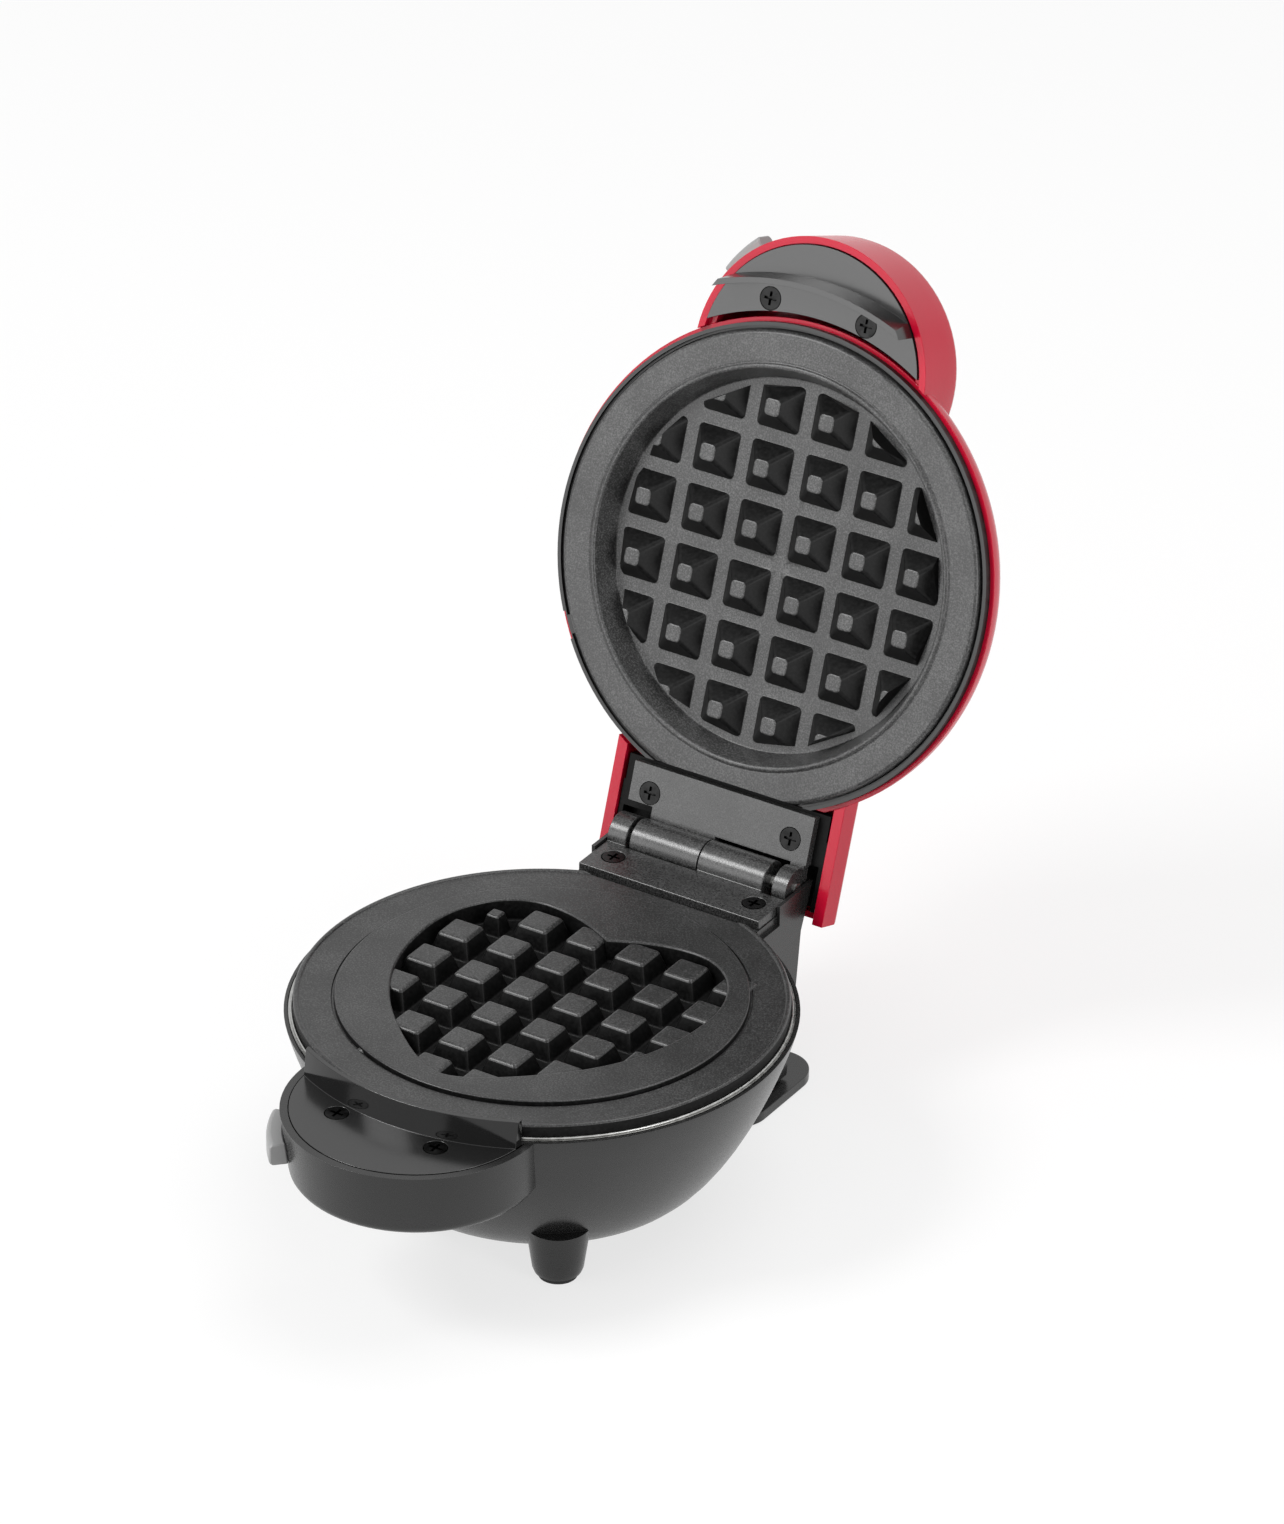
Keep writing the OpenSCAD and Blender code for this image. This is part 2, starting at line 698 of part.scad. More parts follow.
// One knuckle about the hinge axis, joined to its leaf by a web
module knuckle(span, web_low, web_high) {
    width = span[1] - span[0];
    translate([span[0], hinge_y, hinge_z]) rotate([0, 90, 0]) cylinder(r = barrel_r, h = width);
    translate([span[0], leaf_edge_y - over, web_low])
        cube([width, hinge_y - leaf_edge_y + over, web_high - web_low]);
}

module hinge_bore() {
    translate([-leaf_x - over, hinge_y, hinge_z]) rotate([0, 90, 0])
        cylinder(r = bore_r, h = 2 * (leaf_x + over));
}

module leaf_screw_holes(top) {
    for (side = [-1, 1]) translate([side * leaf_screw_x, leaf_screw_y, top]) {
        translate([0, 0, -head_h]) cylinder(r = head_r + head_gap, h = head_h + over);
        translate([0, 0, -leaf_t - over]) cylinder(r = hole_r, h = leaf_t + over);
    }
}

module base_hinge_leaf() {
    color("#6a6a6a") in_base() difference() {
        union() {
            translate([-leaf_x, leaf_y, deck_z]) cube([2 * leaf_x, leaf_edge_y - leaf_y, leaf_t]);
            knuckle(base_lug, deck_z, plate_z);
            knuckle(base_knuckle, deck_z, plate_z);
        }
        hinge_bore();
        leaf_screw_holes(plate_z);
    }
}

module hinge_pin() {
    color("#bdbdbd") in_base() translate([-leaf_x, hinge_y, hinge_z]) rotate([0, 90, 0])
        cylinder(r = pin_r, h = 2 * leaf_x);
}

module front_foot_pads() {
    color("#1e1e1e") in_base() for (side = [-1, 1])
        translate([side * front_foot[0], front_foot[1], 0]) cylinder(r = foot_r - 1.6, h = pad_h);
}

module rear_foot() {
    w = rear_foot_x;
    y0 = rear_foot_front;
    y1 = rear_foot_back;
    c = rear_foot_corner;
    h = rear_foot_h - foot_lift;
    color("#3e3e3e") in_base() difference() {
        union() {
            translate([0, 0, foot_lift]) {
                translate([-w, y0 + c, 0]) cube([2 * w, y1 - y0 - 2 * c, h]);
                translate([-w + c, y0, 0]) cube([2 * (w - c), y1 - y0, h]);
                for (x = [-1, 1], y = [y0 + c, y1 - c]) translate([x * (w - c), y, 0]) cylinder(r = c, h = h);
            }
            translate([-column_x + 1.4, column_front + 1.4, rear_foot_h - over])
                cube([2 * column_x - 2.8, column_back - 11.1 - column_front - 2.8,
                    column_z - rear_foot_h + over]);
        }
        for (side = [-1, 1]) {
            translate([side * rear_screw[0], rear_screw[1], -over])
                cylinder(r = head_r + head_gap, h = head_h + foot_lift + over);
            translate([side * rear_screw[0], rear_screw[1], 0]) cylinder(r = hole_r, h = column_z + over);
        }
        for (p = rear_pads()) translate([p[0], p[1], -over]) cylinder(r = 4.2, h = pad_h + over);
    }
}

function rear_pads() = [for (x = [-1, 1], y = [rear_foot_front + 7, rear_foot_back - 7])
    [x * (rear_foot_x - 7), y]];

module rear_foot_pads() {
    color("#1e1e1e") in_base() for (p = rear_pads()) translate([p[0], p[1], 0]) cylinder(r = 4, h = pad_h);
}

module rear_foot_screws() {
    color("#9a9a9a") in_base() for (side = [-1, 1])
        translate([side * rear_screw[0], rear_screw[1], foot_lift]) mirror([0, 0, 1])
            screw(9, screw_r, head_r, head_h);
}

// A grip tab outside a handle's wall, with a tongue that passes through the wall's window
module grip_tab(angles, z, r_wall, out) {
    difference() {
        intersection() {
            translate([0, 0, z[0]]) wedge(angles, r_wall + 20, z[1] - z[0]);
            translate([0, 0, z[0]]) rotate_extrude() polygon([[r_wall - 4, 0], [r_wall + out - 0.8, 0],
                [r_wall + out, 0.8], [r_wall + out, z[1] - z[0] - 0.8], [r_wall + out - 0.8, z[1] - z[0]],
                [r_wall - 4, z[1] - z[0]]]);
        }
        children();
    }
    intersection() {
        translate([0, 0, z[0] + tab_lip + 0.2])
            wedge([angles[0] + 4.5, angles[1] - 4.5], r_wall + out - 1, z[1] - z[0] - 2 * tab_lip - 0.4);
        translate([0, 0, z[0]]) tube(r_wall + out - 1, r_wall - tongue, z[1] - z[0]);
    }
}

module base_grip_tab() {
    color("#8f8f8f") in_base() translate([0, base_lobe_y, 0]) mirror([0, 1, 0])
        grip_tab(base_tab, base_tab_z, base_lobe_r, base_tab_out)
            translate([0, 0, base_lobe_z]) lobe(base_lobe_r + fit, lobe_draft, base_lobe_h, lobe_soft);
}

module base_panel_screws() {
    color("#2e2e2e") in_base() for (side = [-1, 1])
        translate([side * base_screw[0], base_screw[1], base_panel_z]) screw(9, screw_r, head_r, head_h);
}

module base_leaf_screws() {
    color("#8a8a8a") in_base() for (side = [-1, 1])
        translate([side * leaf_screw_x, leaf_screw_y, plate_z]) screw(6.5, screw_r, head_r, head_h);
}

module base_plate_screws() {
    color("#9a9a9a") in_base() for (p = plate_posts()) translate([p[0], p[1], recess_z - long_head_h])
        mirror([0, 0, 1]) screw(web_z - 1 - recess_z + long_head_h, long_screw_r, long_head_r, long_head_h);
}

module base_wiring() {
    color("#a33227") in_base() {
        block_z = bowl_z + base_wall + 5;
        for (side = [-1, 1])
            wire([[side * 8, 29.3, block_z], [side * 8, 36.2, block_z],
                [side * 8, 36.2, web_z - heater_r - 1.7]]);
        wire([[0, 29.3, block_z], [0, 36, block_z], [0, 36, 28], [0, lead_y, 28], [0, lead_y, gland_z],
            [0, gland_in - 1.9, gland_z]]);
    }
}

// Lid pieces

module dome_outer() {
    bowl_solid(lid_r, dome_flat_r, dome_rim, dome_depth, 1.15, 1);
}

module dome_inner() {
    bowl_solid(lid_r - cover_wall, dome_flat_r - cover_wall * 0.5, dome_rim, dome_depth - cover_wall,
        1.15, 1, over);
}

module lid_lobe_outer() {
    translate([0, lid_lobe_y, lid_lobe_z]) lobe(lid_lobe_r, lid_lobe_draft, lid_lobe_h, lobe_soft);
}

module lid_lobe_inner() {
    translate([0, lid_lobe_y, lid_lobe_z + cover_wall])
        lobe(lid_lobe_in, lid_lobe_draft, lid_lobe_h, lobe_soft);
}

// The hinge box's side view, in y and z, with its lower end corner cut back
module hinge_box(x, end, low, top, cut) {
    translate([-x, 0, 0]) rotate([90, 0, 90]) linear_extrude(2 * x)
        polygon([[-box_front, low], [-box_front, top], [-end, top], [-end, low + cut], [-end + cut, low]]);
}

// Keeps a box's sides rounded along its low edges
module rounded_sides(x, end, low, top, r) {
    translate([-x, -end - over, low + r]) cube([2 * x, end, top - low - r + over]);
    translate([-x + r, -end - over, low - over]) cube([2 * (x - r), end, r + 2 * over]);
    for (side = [-1, 1]) translate([side * (x - r), -end - over, low + r]) rotate([-90, 0, 0])
        cylinder(r = r, h = end);
}

module lid_cover() {
    color("#c01f35") in_lid() {
        difference() {
            union() {
                dome_outer();
                lid_lobe_outer();
                intersection() {
                    hinge_box(cheek_x, box_end, box_z, lid_rim, box_cut);
                    rounded_sides(cheek_x, box_end, box_z, lid_rim, box_round);
                }
            }
            dome_inner();
            translate([0, 0, dome_rim]) cylinder(r = lid_r, h = 4 * over);
            difference() {
                union() {
                    lid_lobe_inner();
                    translate([0, lid_lobe_y, lid_panel_z - panel_t])
                        cylinder(r = lid_lobe_in, h = panel_t + over);
                }
                dome_outer();
            }
            difference() {
                hinge_box(cheek_x - cheek_t, box_end + over, box_z + cover_wall, lid_rim + over, box_cut);
                difference() {
                    dome_outer();
                    translate([-cheek_x + cheek_t, -100, -4])
                        cube([2 * (cheek_x - cheek_t), 100 - lid_chord - gap, 20]);
                }
                translate([-cheek_x, -box_end, box_z]) cube([2 * cheek_x, cover_wall, box_lip]);
            }
            translate([0, lens_y, lid_lobe_z - over]) cylinder(r = lens_r + 0.1, h = cover_wall + 2 * over);
            tab_window(lid_tab, lid_tab_z, lid_lobe_r, lid_lobe_y, 0);
        }
        lid_ledge();
        lid_bosses();
    }
}

module lid_ledge() {
    difference() {
        translate([0, lid_lobe_y, lid_panel_z - panel_t - ledge_h])
            tube(lid_lobe_in + 0.4, lid_lobe_in - ledge_w, ledge_h);
        translate([0, 0, -20]) cylinder(r = lid_r - 0.6, h = 60);
    }
}

module lid_bosses() {
    for (side = [-1, 1]) {
        translate([side * lid_screw[0], lid_screw[1], lid_lobe_z + 1]) difference() {
            cylinder(r = post_r, h = lid_panel_z - panel_t - lid_lobe_z - 1);
            translate([0, 0, 3]) cylinder(r = hole_r, h = lid_lobe_h);
        }
        translate([side * leaf_screw_x, -leaf_screw_y, box_z + 1]) difference() {
            cylinder(r = post_r, h = lid_deck_z - leaf_t - box_z - 1);
            translate([0, 0, 1]) cylinder(r = hole_r, h = 20);
        }
    }
}

module lid_liner() {
    low = box_z + cover_wall + gap;
    color("#2b2b2b") in_lid() difference() {
        union() {
            difference() {
                translate([-liner_x, -liner_end, low])
                    cube([2 * liner_x, liner_end - rim_r - gap, lid_deck_z - low]);
                translate([-liner_x + liner_t, -liner_end - over, low + liner_t])
                    cube([2 * (liner_x - liner_t), liner_end + over, 30]);
            }
            translate([-liner_x + 0.5, -leaf_edge_y, lid_deck_z - leaf_t])
                cube([2 * liner_x - 1, leaf_edge_y - lid_chord - 0.7, leaf_t]);
        }
        for (side = [-1, 1]) translate([side * leaf_screw_x, -leaf_screw_y, low - over]) {
            cylinder(r = post_r + gap, h = lid_deck_z - leaf_t - low + over);
            cylinder(r = hole_r, h = 30);
        }
    }
}

module lid_handle_panel() {
    color("#6b6b6b") in_lid()
        guarded_panel(lid_lobe_y, lid_lobe_in - panel_gap, lid_panel_in, lid_panel_z,
            fin_r, fin_in, fin_draft, guard_h, lid_screw, 1);
}

module grid_plate() {
    color("#5f5f5f") in_lid() difference() {
        union() {
            plate_body(grid_r, grid_depth, shelf_z, grid_r - skirt_t);
            translate([0, 0, lid_web_z])
                cylinder(r1 = grid_boss_r, r2 = grid_pocket_r + 1.8, h = grid_depth - lid_web_z - over);
            heater_rail(lid_web_z);
            for (p = plate_posts()) translate([p[0], -p[1], lid_pan_z + sheet])
                cylinder(r = plate_post_r, h = lid_web_z - lid_pan_z - sheet + over);
        }
        difference() {
            cylinder(r1 = grid_floor_r, r2 = grid_pocket_r + (grid_pocket_r - grid_floor_r) / grid_depth,
                h = grid_depth + over);
            intersection() {
                pegs(6, 6, grid_pitch, grid_peg_base, grid_peg_top, grid_peg_h, 120);
                translate([0, 0, -2 * over]) cylinder(r = grid_peg_r, h = grid_depth);
            }
        }
        rotate(180) heater_groove(lid_web_z);
        for (p = plate_posts()) translate([p[0], -p[1], lid_pan_z - over])
            cylinder(r = hole_r, h = lid_web_z - lid_pan_z + 2);
        beyond(lid_chord, -1);
    }
}

module lid_heater() {
    color("#8a8a88") in_lid() rotate(180) heater(lid_web_z);
}

module lid_heat_shield() {
    color("#b5b5b2") in_lid() difference() {
        union() {
            translate([0, 0, dome_rim]) cylinder(r = ring_r, h = ring_z - dome_rim);
            translate([0, 0, shelf_z - sheet]) cylinder(r = lid_wall_r, h = ring_z - shelf_z + sheet);
            translate([0, 0, lid_pan_z]) cylinder(r1 = lid_pan_low_r, r2 = lid_pan_r, h = shelf_z - lid_pan_z);
        }
        translate([0, 0, shelf_z]) cylinder(r = lid_wall_r - sheet, h = 20);
        translate([0, 0, ring_z - 1]) cylinder(r = ring_in, h = 20);
        translate([0, 0, lid_pan_z + sheet])
            cylinder(r1 = lid_pan_low_r - sheet, r2 = lid_pan_r - sheet, h = shelf_z - lid_pan_z - sheet + eps);
        for (p = plate_posts()) translate([p[0], -p[1], lid_pan_z - over]) cylinder(r = hole_r + 0.2, h = 4);
        translate([-12, -60, lid_web_z - 4]) cube([24, 14, 3.4]);
        beyond(lid_chord + gap, -1);
        rotate(209) translate([ring_r - ring_notch, -3.7, ring_z - ring_notch]) cube([4, 7.4, 4]);
    }
}

module lid_hinge_leaf() {
    low = lid_z0 - hinge_z;
    color("#7a7a7a") in_lid() difference() {
        union() {
            translate([-leaf_x, -leaf_edge_y, lid_deck_z]) cube([2 * leaf_x, leaf_edge_y - leaf_y, leaf_t]);
            for (span = [lid_knuckle, lid_lug]) {
                width = span[1] - span[0];
                translate([span[0], -hinge_y, low]) rotate([0, 90, 0]) cylinder(r = barrel_r, h = width);
                translate([span[0], -hinge_y, lid_deck_z]) cube([width, hinge_y - leaf_edge_y + over, leaf_t]);
            }
        }
        translate([-leaf_x - over, -hinge_y, low]) rotate([0, 90, 0])
            cylinder(r = bore_r, h = 2 * (leaf_x + over));
        for (side = [-1, 1]) translate([side * leaf_screw_x, -leaf_screw_y, grid_depth]) {
            translate([0, 0, -head_h]) cylinder(r = head_r + head_gap, h = head_h + over);
            translate([0, 0, -leaf_t - over]) cylinder(r = hole_r, h = leaf_t + over);
        }
        translate([-leaf_x - over, -leaf_edge_y - over, lid_deck_z - over])
            cube([leaf_x + lid_knuckle[0] + 0.6 + over, 2.4 + over, leaf_t + 2 * over]);
    }
}

module lid_grip_tab() {
    color("#8f8f8f") in_lid() translate([0, lid_lobe_y, 0])
        grip_tab(lid_tab, lid_tab_z, lid_lobe_r, lid_tab_out)
            translate([0, 0, lid_lobe_z]) lobe(lid_lobe_r + fit, lid_lobe_draft, lid_lobe_h, lobe_soft);
}

module indicator_lens() {
    color("#e8e8e8") in_lid() translate([0, lens_y, lid_lobe_z]) {
        cylinder(r = lens_r, h = cover_wall + over / 2);
        translate([0, 0, cover_wall]) cylinder(r = lens_r + 1, h = 0.8);
    }
}

module indicator_lamp() {
    color("#d8a040") in_lid() translate([0, lens_y, lid_lobe_z + cover_wall + 1.1]) {
        cylinder(r = 1.6, h = 5);
        for (side = [-1, 1]) translate([side * 0.8, 0, 4]) cylinder(r = 0.3, h = 4, $fn = 24);
    }
}

module lid_panel_screws() {
    color("#2e2e2e") in_lid() for (side = [-1, 1])
        translate([side * lid_screw[0], lid_screw[1], lid_panel_z]) screw(9, screw_r, head_r, head_h);
}

module lid_leaf_screws() {
    color("#8a8a8a") in_lid() for (side = [-1, 1])
        translate([side * leaf_screw_x, -leaf_screw_y, grid_depth])
            screw(lid_leaf_screw, screw_r, head_r, head_h);
}

module lid_plate_screws() {
    color("#9a9a9a") in_lid() for (p = plate_posts()) translate([p[0], -p[1], lid_pan_z - 1])
        mirror([0, 0, 1]) screw(6, screw_r, head_r, 1);
}

module lid_wiring() {
    color("#a33227") in_lid() for (side = [-1, 1])
        wire([[side * 8, -38.5, lid_web_z - heater_r], [side * 8, -lid_lead, lid_web_z - heater_r]]);
}

base_shell();
base_handle_panel();
heart_plate();
base_heater();
base_heat_shield();
thermostat();
thermal_fuse();
terminal_block();
cord_bushing();
base_hinge_leaf();
hinge_pin();
front_foot_pads();
rear_foot();
rear_foot_pads();
rear_foot_screws();
base_grip_tab();
base_panel_screws();
base_leaf_screws();
base_plate_screws();
base_wiring();
lid_cover();
lid_liner();
lid_handle_panel();
grid_plate();
lid_heater();
lid_heat_shield();
lid_hinge_leaf();
lid_grip_tab();
indicator_lens();
indicator_lamp();
lid_panel_screws();
lid_leaf_screws();
lid_plate_screws();
lid_wiring();
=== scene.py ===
"""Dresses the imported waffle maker: non-stick plates, moulded housings, hinge, screws and a studio."""
import json
import math

import bmesh
import bpy
from mathutils import Matrix, Vector


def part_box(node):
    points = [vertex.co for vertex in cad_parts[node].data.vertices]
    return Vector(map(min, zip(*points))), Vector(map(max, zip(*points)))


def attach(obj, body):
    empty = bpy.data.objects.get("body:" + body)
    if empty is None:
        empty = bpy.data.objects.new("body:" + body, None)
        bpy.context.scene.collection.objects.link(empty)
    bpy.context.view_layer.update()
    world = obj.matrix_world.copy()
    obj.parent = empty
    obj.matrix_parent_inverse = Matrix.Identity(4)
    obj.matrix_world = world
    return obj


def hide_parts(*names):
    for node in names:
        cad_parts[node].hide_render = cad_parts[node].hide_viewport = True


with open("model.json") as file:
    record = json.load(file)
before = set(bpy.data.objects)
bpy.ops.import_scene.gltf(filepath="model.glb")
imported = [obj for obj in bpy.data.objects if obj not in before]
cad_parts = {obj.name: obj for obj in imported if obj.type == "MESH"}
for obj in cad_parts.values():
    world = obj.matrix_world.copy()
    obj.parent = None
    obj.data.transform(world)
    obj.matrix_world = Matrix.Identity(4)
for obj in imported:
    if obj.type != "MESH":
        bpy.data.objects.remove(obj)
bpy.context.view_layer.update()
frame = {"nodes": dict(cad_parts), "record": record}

MM = 0.001
BASE_NODES = frame["record"]["behaviour"]["bodies"]["base"]

# Places that the frame gives, in millimetres
JOINT = frame["record"]["behaviour"]["joints"][0]
OPEN_DEG = JOINT["range_deg"][1]
HINGE_Y = JOINT["pos_m"][1] / MM
HINGE_Z = JOINT["pos_m"][2] / MM
PLATE_BOX = [[value / MM for value in corner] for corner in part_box("heart_plate")]
PLATE_R = (PLATE_BOX[1][0] - PLATE_BOX[0][0]) / 2
AXIS_Y = PLATE_BOX[0][1] + PLATE_R
PLATE_Z = PLATE_BOX[1][2]

# The same driving sizes as the solids, in millimetres: both plates
WEB = 2.5
SKIRT_WALL = 1.8
FLANGE_T = 2
CHORD_EDGE = 0.7                    # round edge of the straight cut at the hinge

# Lower plate: raised round face, skirt and heart pocket
PLATEAU_R = 51.8
PLATEAU_H = 1.0
SKIRT_H = 3.3
CHORD_Y = 56.5
POCKET_DEPTH = 6.0
HEART_HALF_W = 41.5
HEART_TOP = 36.5
HEART_CUSP = 29.8
HEART_TIP = 45.5

# Its pegs: a peg is (foot, top) wide, and its edges are (corner, foot, crown) round
HEART_PITCH = 14.48
HEART_SHIFT = (1.86, 0.73)
HEART_CELLS = 8
HEART_MIDDLE = (3.5, 4)
HEART_PEG = (11.2, 8.3)
HEART_PEG_EDGES = (0.9, 0.7, 0.8)
HEART_PEG_H = POCKET_DEPTH - 0.6
NARROW_PEG_CELL = (1, 6)
NARROW_PEG_AT = (-31.4, 26.8)
NARROW_PEG = (5.6, 3.4)
NARROW_PEG_EDGES = (0.5, 0.7, 0.5)

# Upper plate: flange, round pocket and grid of pegs
GRID_R = 60.55
GRID_POCKET_R = 50.8
GRID_FLOOR_R = 48.3
GRID_DEPTH = 6.3
LID_CHORD = 57.06
GRID_PITCH = 15.96
GRID_CELLS = 6
GRID_MIDDLE = 2.5
GRID_PEG = (11.6, 4.2)
GRID_PEG_EDGES = (0.9, 0.6, 0.35)
GRID_PEG_H = 4.9
GRID_PEG_R = 45.9
LID_GAP = 2.2                       # between the two faces when the lid is shut
LID_FLOOR_Z = PLATE_Z + LID_GAP + GRID_DEPTH

# From a plate's own place to the frame
BASE = Matrix.Translation((0, AXIS_Y, 0))
LID = (Matrix.Translation((0, HINGE_Y, HINGE_Z)) @ Matrix.Rotation(math.radians(-OPEN_DEG), 4, "X")
       @ Matrix.Translation((0, AXIS_Y - HINGE_Y, LID_FLOOR_Z - HINGE_Z)) @ Matrix.Rotation(math.pi, 4, "X"))


# Materials

NOISE_SPAN = (0.3, 0.7)             # nearly all of a noise's values lie in here
COATING_TONES_AT = (0.42, 0.58, 0.78)
COATING_SPREAD = (-0.06, 0.08)      # how far a coating's roughness wanders, down and up
SPRAY_DRIFT_MM = 14.0
SPRAY_DRIFT_SHARE = 0.2
MELT_FLOW_MM = 30.0
RUB_MARK_MM = 2.0
METAL_SPREAD = 0.08
LENS_HAZE_MM = 1.5


def linear(code):
    """A colour written as sRGB hex, as the linear values that shaders take."""
    values = [int(code[i:i + 2], 16) / 255 for i in (1, 3, 5)]
    return [v / 12.92 if v <= 0.04045 else ((v + 0.055) / 1.055) ** 2.4 for v in values] + [1.0]


def per_metre(size_mm):
    """The scale at which a pattern's features are about size_mm across."""
    return 1 / (size_mm * MM)


def add(tree, kind, settings=None, links=None, stops=(), **props):
    """Adds a node with its settings, links and colour stops; a node as a link gives its first output."""
    item = tree.nodes.new(kind)
    for key, value in props.items():
        setattr(item, key, value)
    for key, value in (settings or {}).items():
        item.inputs[key].default_value = value
    for key, source in (links or {}).items():
        tree.links.new(getattr(source, "outputs", (source,))[0], item.inputs[key])
    if stops:
        colours = item.color_ramp.elements
        while len(colours) < len(stops):
            colours.new(0.5)
        for colour, (position, code) in zip(colours, stops):
            colour.position = position
            colour.color = linear(code)
    return item


def new_material(name, **shader):
    """A material, its nodes, its shader with the given sockets set, and the object's own coordinates."""
    material = bpy.data.materials.new(name)
    material.use_nodes = True
    tree = material.node_tree
    surface = tree.nodes["Principled BSDF"]
    for key, value in shader.items():
        surface.inputs[key.replace("_", " ")].default_value = value
    return material, tree, surface, add(tree, "ShaderNodeTexCoord").outputs["Object"]


def colour_and_gloss(tree, surface, tone, stops, grain, rough, span=NOISE_SPAN):
    """Colours a shader from one pattern, and spreads its roughness over a range from another."""
    colour = add(tree, "ShaderNodeValToRGB", links={"Fac": tone}, stops=stops)
    gloss = add(tree, "ShaderNodeMapRange",
                {"From Min": span[0], "From Max": span[1], "To Min": rough[0], "To Max": rough[1]},
                {"Value": grain})
    tree.links.new(colour.outputs[0], surface.inputs["Base Color"])
    tree.links.new(gloss.outputs[0], surface.inputs["Roughness"])


def nonstick_coating(name, tones, rough, pebble_mm, depth_mm, gloss):
    """Sprayed and baked coating: dark pits, pale grains and a slow drift where the spray lay thicker."""
    material, tree, surface, place = new_material(name, Specular_IOR_Level=gloss)
    pebble = add(tree, "ShaderNodeTexNoise",
                 {"Scale": per_metre(pebble_mm), "Detail": 3.0, "Roughness": 0.6}, {"Vector": place})
    cloud = add(tree, "ShaderNodeTexNoise",
                {"Scale": per_metre(SPRAY_DRIFT_MM), "Detail": 2.0}, {"Vector": place})
    drift = add(tree, "ShaderNodeMath", {1: SPRAY_DRIFT_SHARE}, {0: cloud}, operation="MULTIPLY")
    tone = add(tree, "ShaderNodeMath", links={0: pebble, 1: drift}, operation="ADD")
    colour_and_gloss(tree, surface, tone, list(zip(COATING_TONES_AT, tones)), pebble,
                     (rough + COATING_SPREAD[0], rough + COATING_SPREAD[1]))
    relief = add(tree, "ShaderNodeBump", {"Distance": depth_mm * MM, "Strength": 0.6}, {"Height": pebble})
    tree.links.new(relief.outputs[0], surface.inputs["Normal"])
    return material


def moulded_plastic(name, tones, rough, grain_mm, depth_mm, gloss, spread=0.05):
    """Injection-moulded plastic: a slow flow of two near tones under the mould's grain or polish."""
    material, tree, surface, place = new_material(name, Specular_IOR_Level=gloss)
    grain = add(tree, "ShaderNodeTexNoise", {"Scale": per_metre(grain_mm), "Detail": 2.0}, {"Vector": place})
    flow = add(tree, "ShaderNodeTexNoise",
               {"Scale": per_metre(MELT_FLOW_MM), "Detail": 1.0}, {"Vector": place})
    colour_and_gloss(tree, surface, flow, list(zip(NOISE_SPAN, tones)), grain,
                     (rough - spread, rough + spread))
    relief = add(tree, "ShaderNodeBump", {"Distance": depth_mm * MM, "Strength": 1.0}, {"Height": grain})
    tree.links.new(relief.outputs[0], surface.inputs["Normal"])
    return material


def worked_metal(name, tones, rough):
    """Drawn, turned or stamped metal with faint rub marks that change its tone and its gloss together."""
    material, tree, surface, place = new_material(name, Metallic=1.0)
    rub = add(tree, "ShaderNodeTexNoise", {"Scale": per_metre(RUB_MARK_MM), "Detail": 4.0}, {"Vector": place})
    colour_and_gloss(tree, surface, rub, list(zip(NOISE_SPAN, tones)), rub,
                     (rough - METAL_SPREAD, rough + METAL_SPREAD))
    return material


def lamp_glass(name, tones, rough):
    """A clear or tinted lamp part with a slight haze."""
    material, tree, surface, place = new_material(name, Transmission_Weight=0.7, IOR=1.5)
    haze = add(tree, "ShaderNodeTexNoise",
               {"Scale": per_metre(LENS_HAZE_MM), "Detail": 2.0}, {"Vector": place})
    colour_and_gloss(tree, surface, haze, list(zip((0.2, 0.8), tones)), haze,
                     (rough, rough + 0.1), (0.0, 1.0))
    return material


# Plastics. Numbers: roughness, grain in mm, grain depth in mm, gloss and how far the roughness wanders.
# A spark-eroded mould grain is about 0.1 mm; it is drawn 4 to 7 times as coarse so that it shows.
# On the polished ones the pattern isn't grain but the faint waviness of a polished mould.

# Heat-proof moulding with a satin grain: near black, with a broad soft sheen on its round bowl
CHARCOAL = moulded_plastic("charcoal_phenolic_moulded_satin", ("#1d1d1d", "#222222"), 0.28, 0.5, 0.005, 0.45)
# Polished mould, so a deep red with smooth, slightly wavy highlights and no grain
RED = moulded_plastic("red_abs_polished", ("#b8062a", "#bd092e"), 0.22, 1.2, 0.001, 0.24, 0.015)
# Satin mould: black that turns mid grey where it mirrors the light as a whole
PANEL = moulded_plastic("black_abs_moulded_satin", ("#161616", "#1a1a1a"), 0.2, 0.7, 0.001, 0.62, 0.02)
# Polished mould, partly painted shade: the panel's sides and guard are a darker black than its top, as shade
# on faces turned from the light, beside a narrow sharp highlight
POLISHED_PAINTED_SHADE = moulded_plastic("black_abs_polished_painted_shade", ("#0a0a0a", "#0d0d0d"), 0.09, 0.7, 0.001, 0.5, 0.015)
# Unpolished inner part: dull black that hardly catches the light, darkened to nearly pure black as painted
# shade for the gap beside the hinge leaf
LINER = moulded_plastic("black_nylon_moulded", ("#060606", "#090909"), 0.5, 0.6, 0.01, 0.12)
# Satin mould: a plain light grey with soft shading
TAB = moulded_plastic("light_grey_abs_moulded", ("#8c8c8c", "#949494"), 0.4, 0.5, 0.006, 0.5)
# Terminal block: warm off-white, matt
IVORY = moulded_plastic("ivory_polyamide_moulded", ("#e2dccf", "#e9e4d9"), 0.5, 0.5, 0.01, 0.5)
# Feet and gland: matt black with a faint bloom in the grain
RUBBER = moulded_plastic("black_epdm_rubber_moulded", ("#191919", "#222222"), 0.75, 0.4, 0.03, 0.4)
# Wiring sleeve: brick red with a soft waxy sheen
SLEEVE = moulded_plastic("red_silicone_sleeve", ("#93291f", "#a33227"), 0.5, 0.6, 0.01, 0.5)
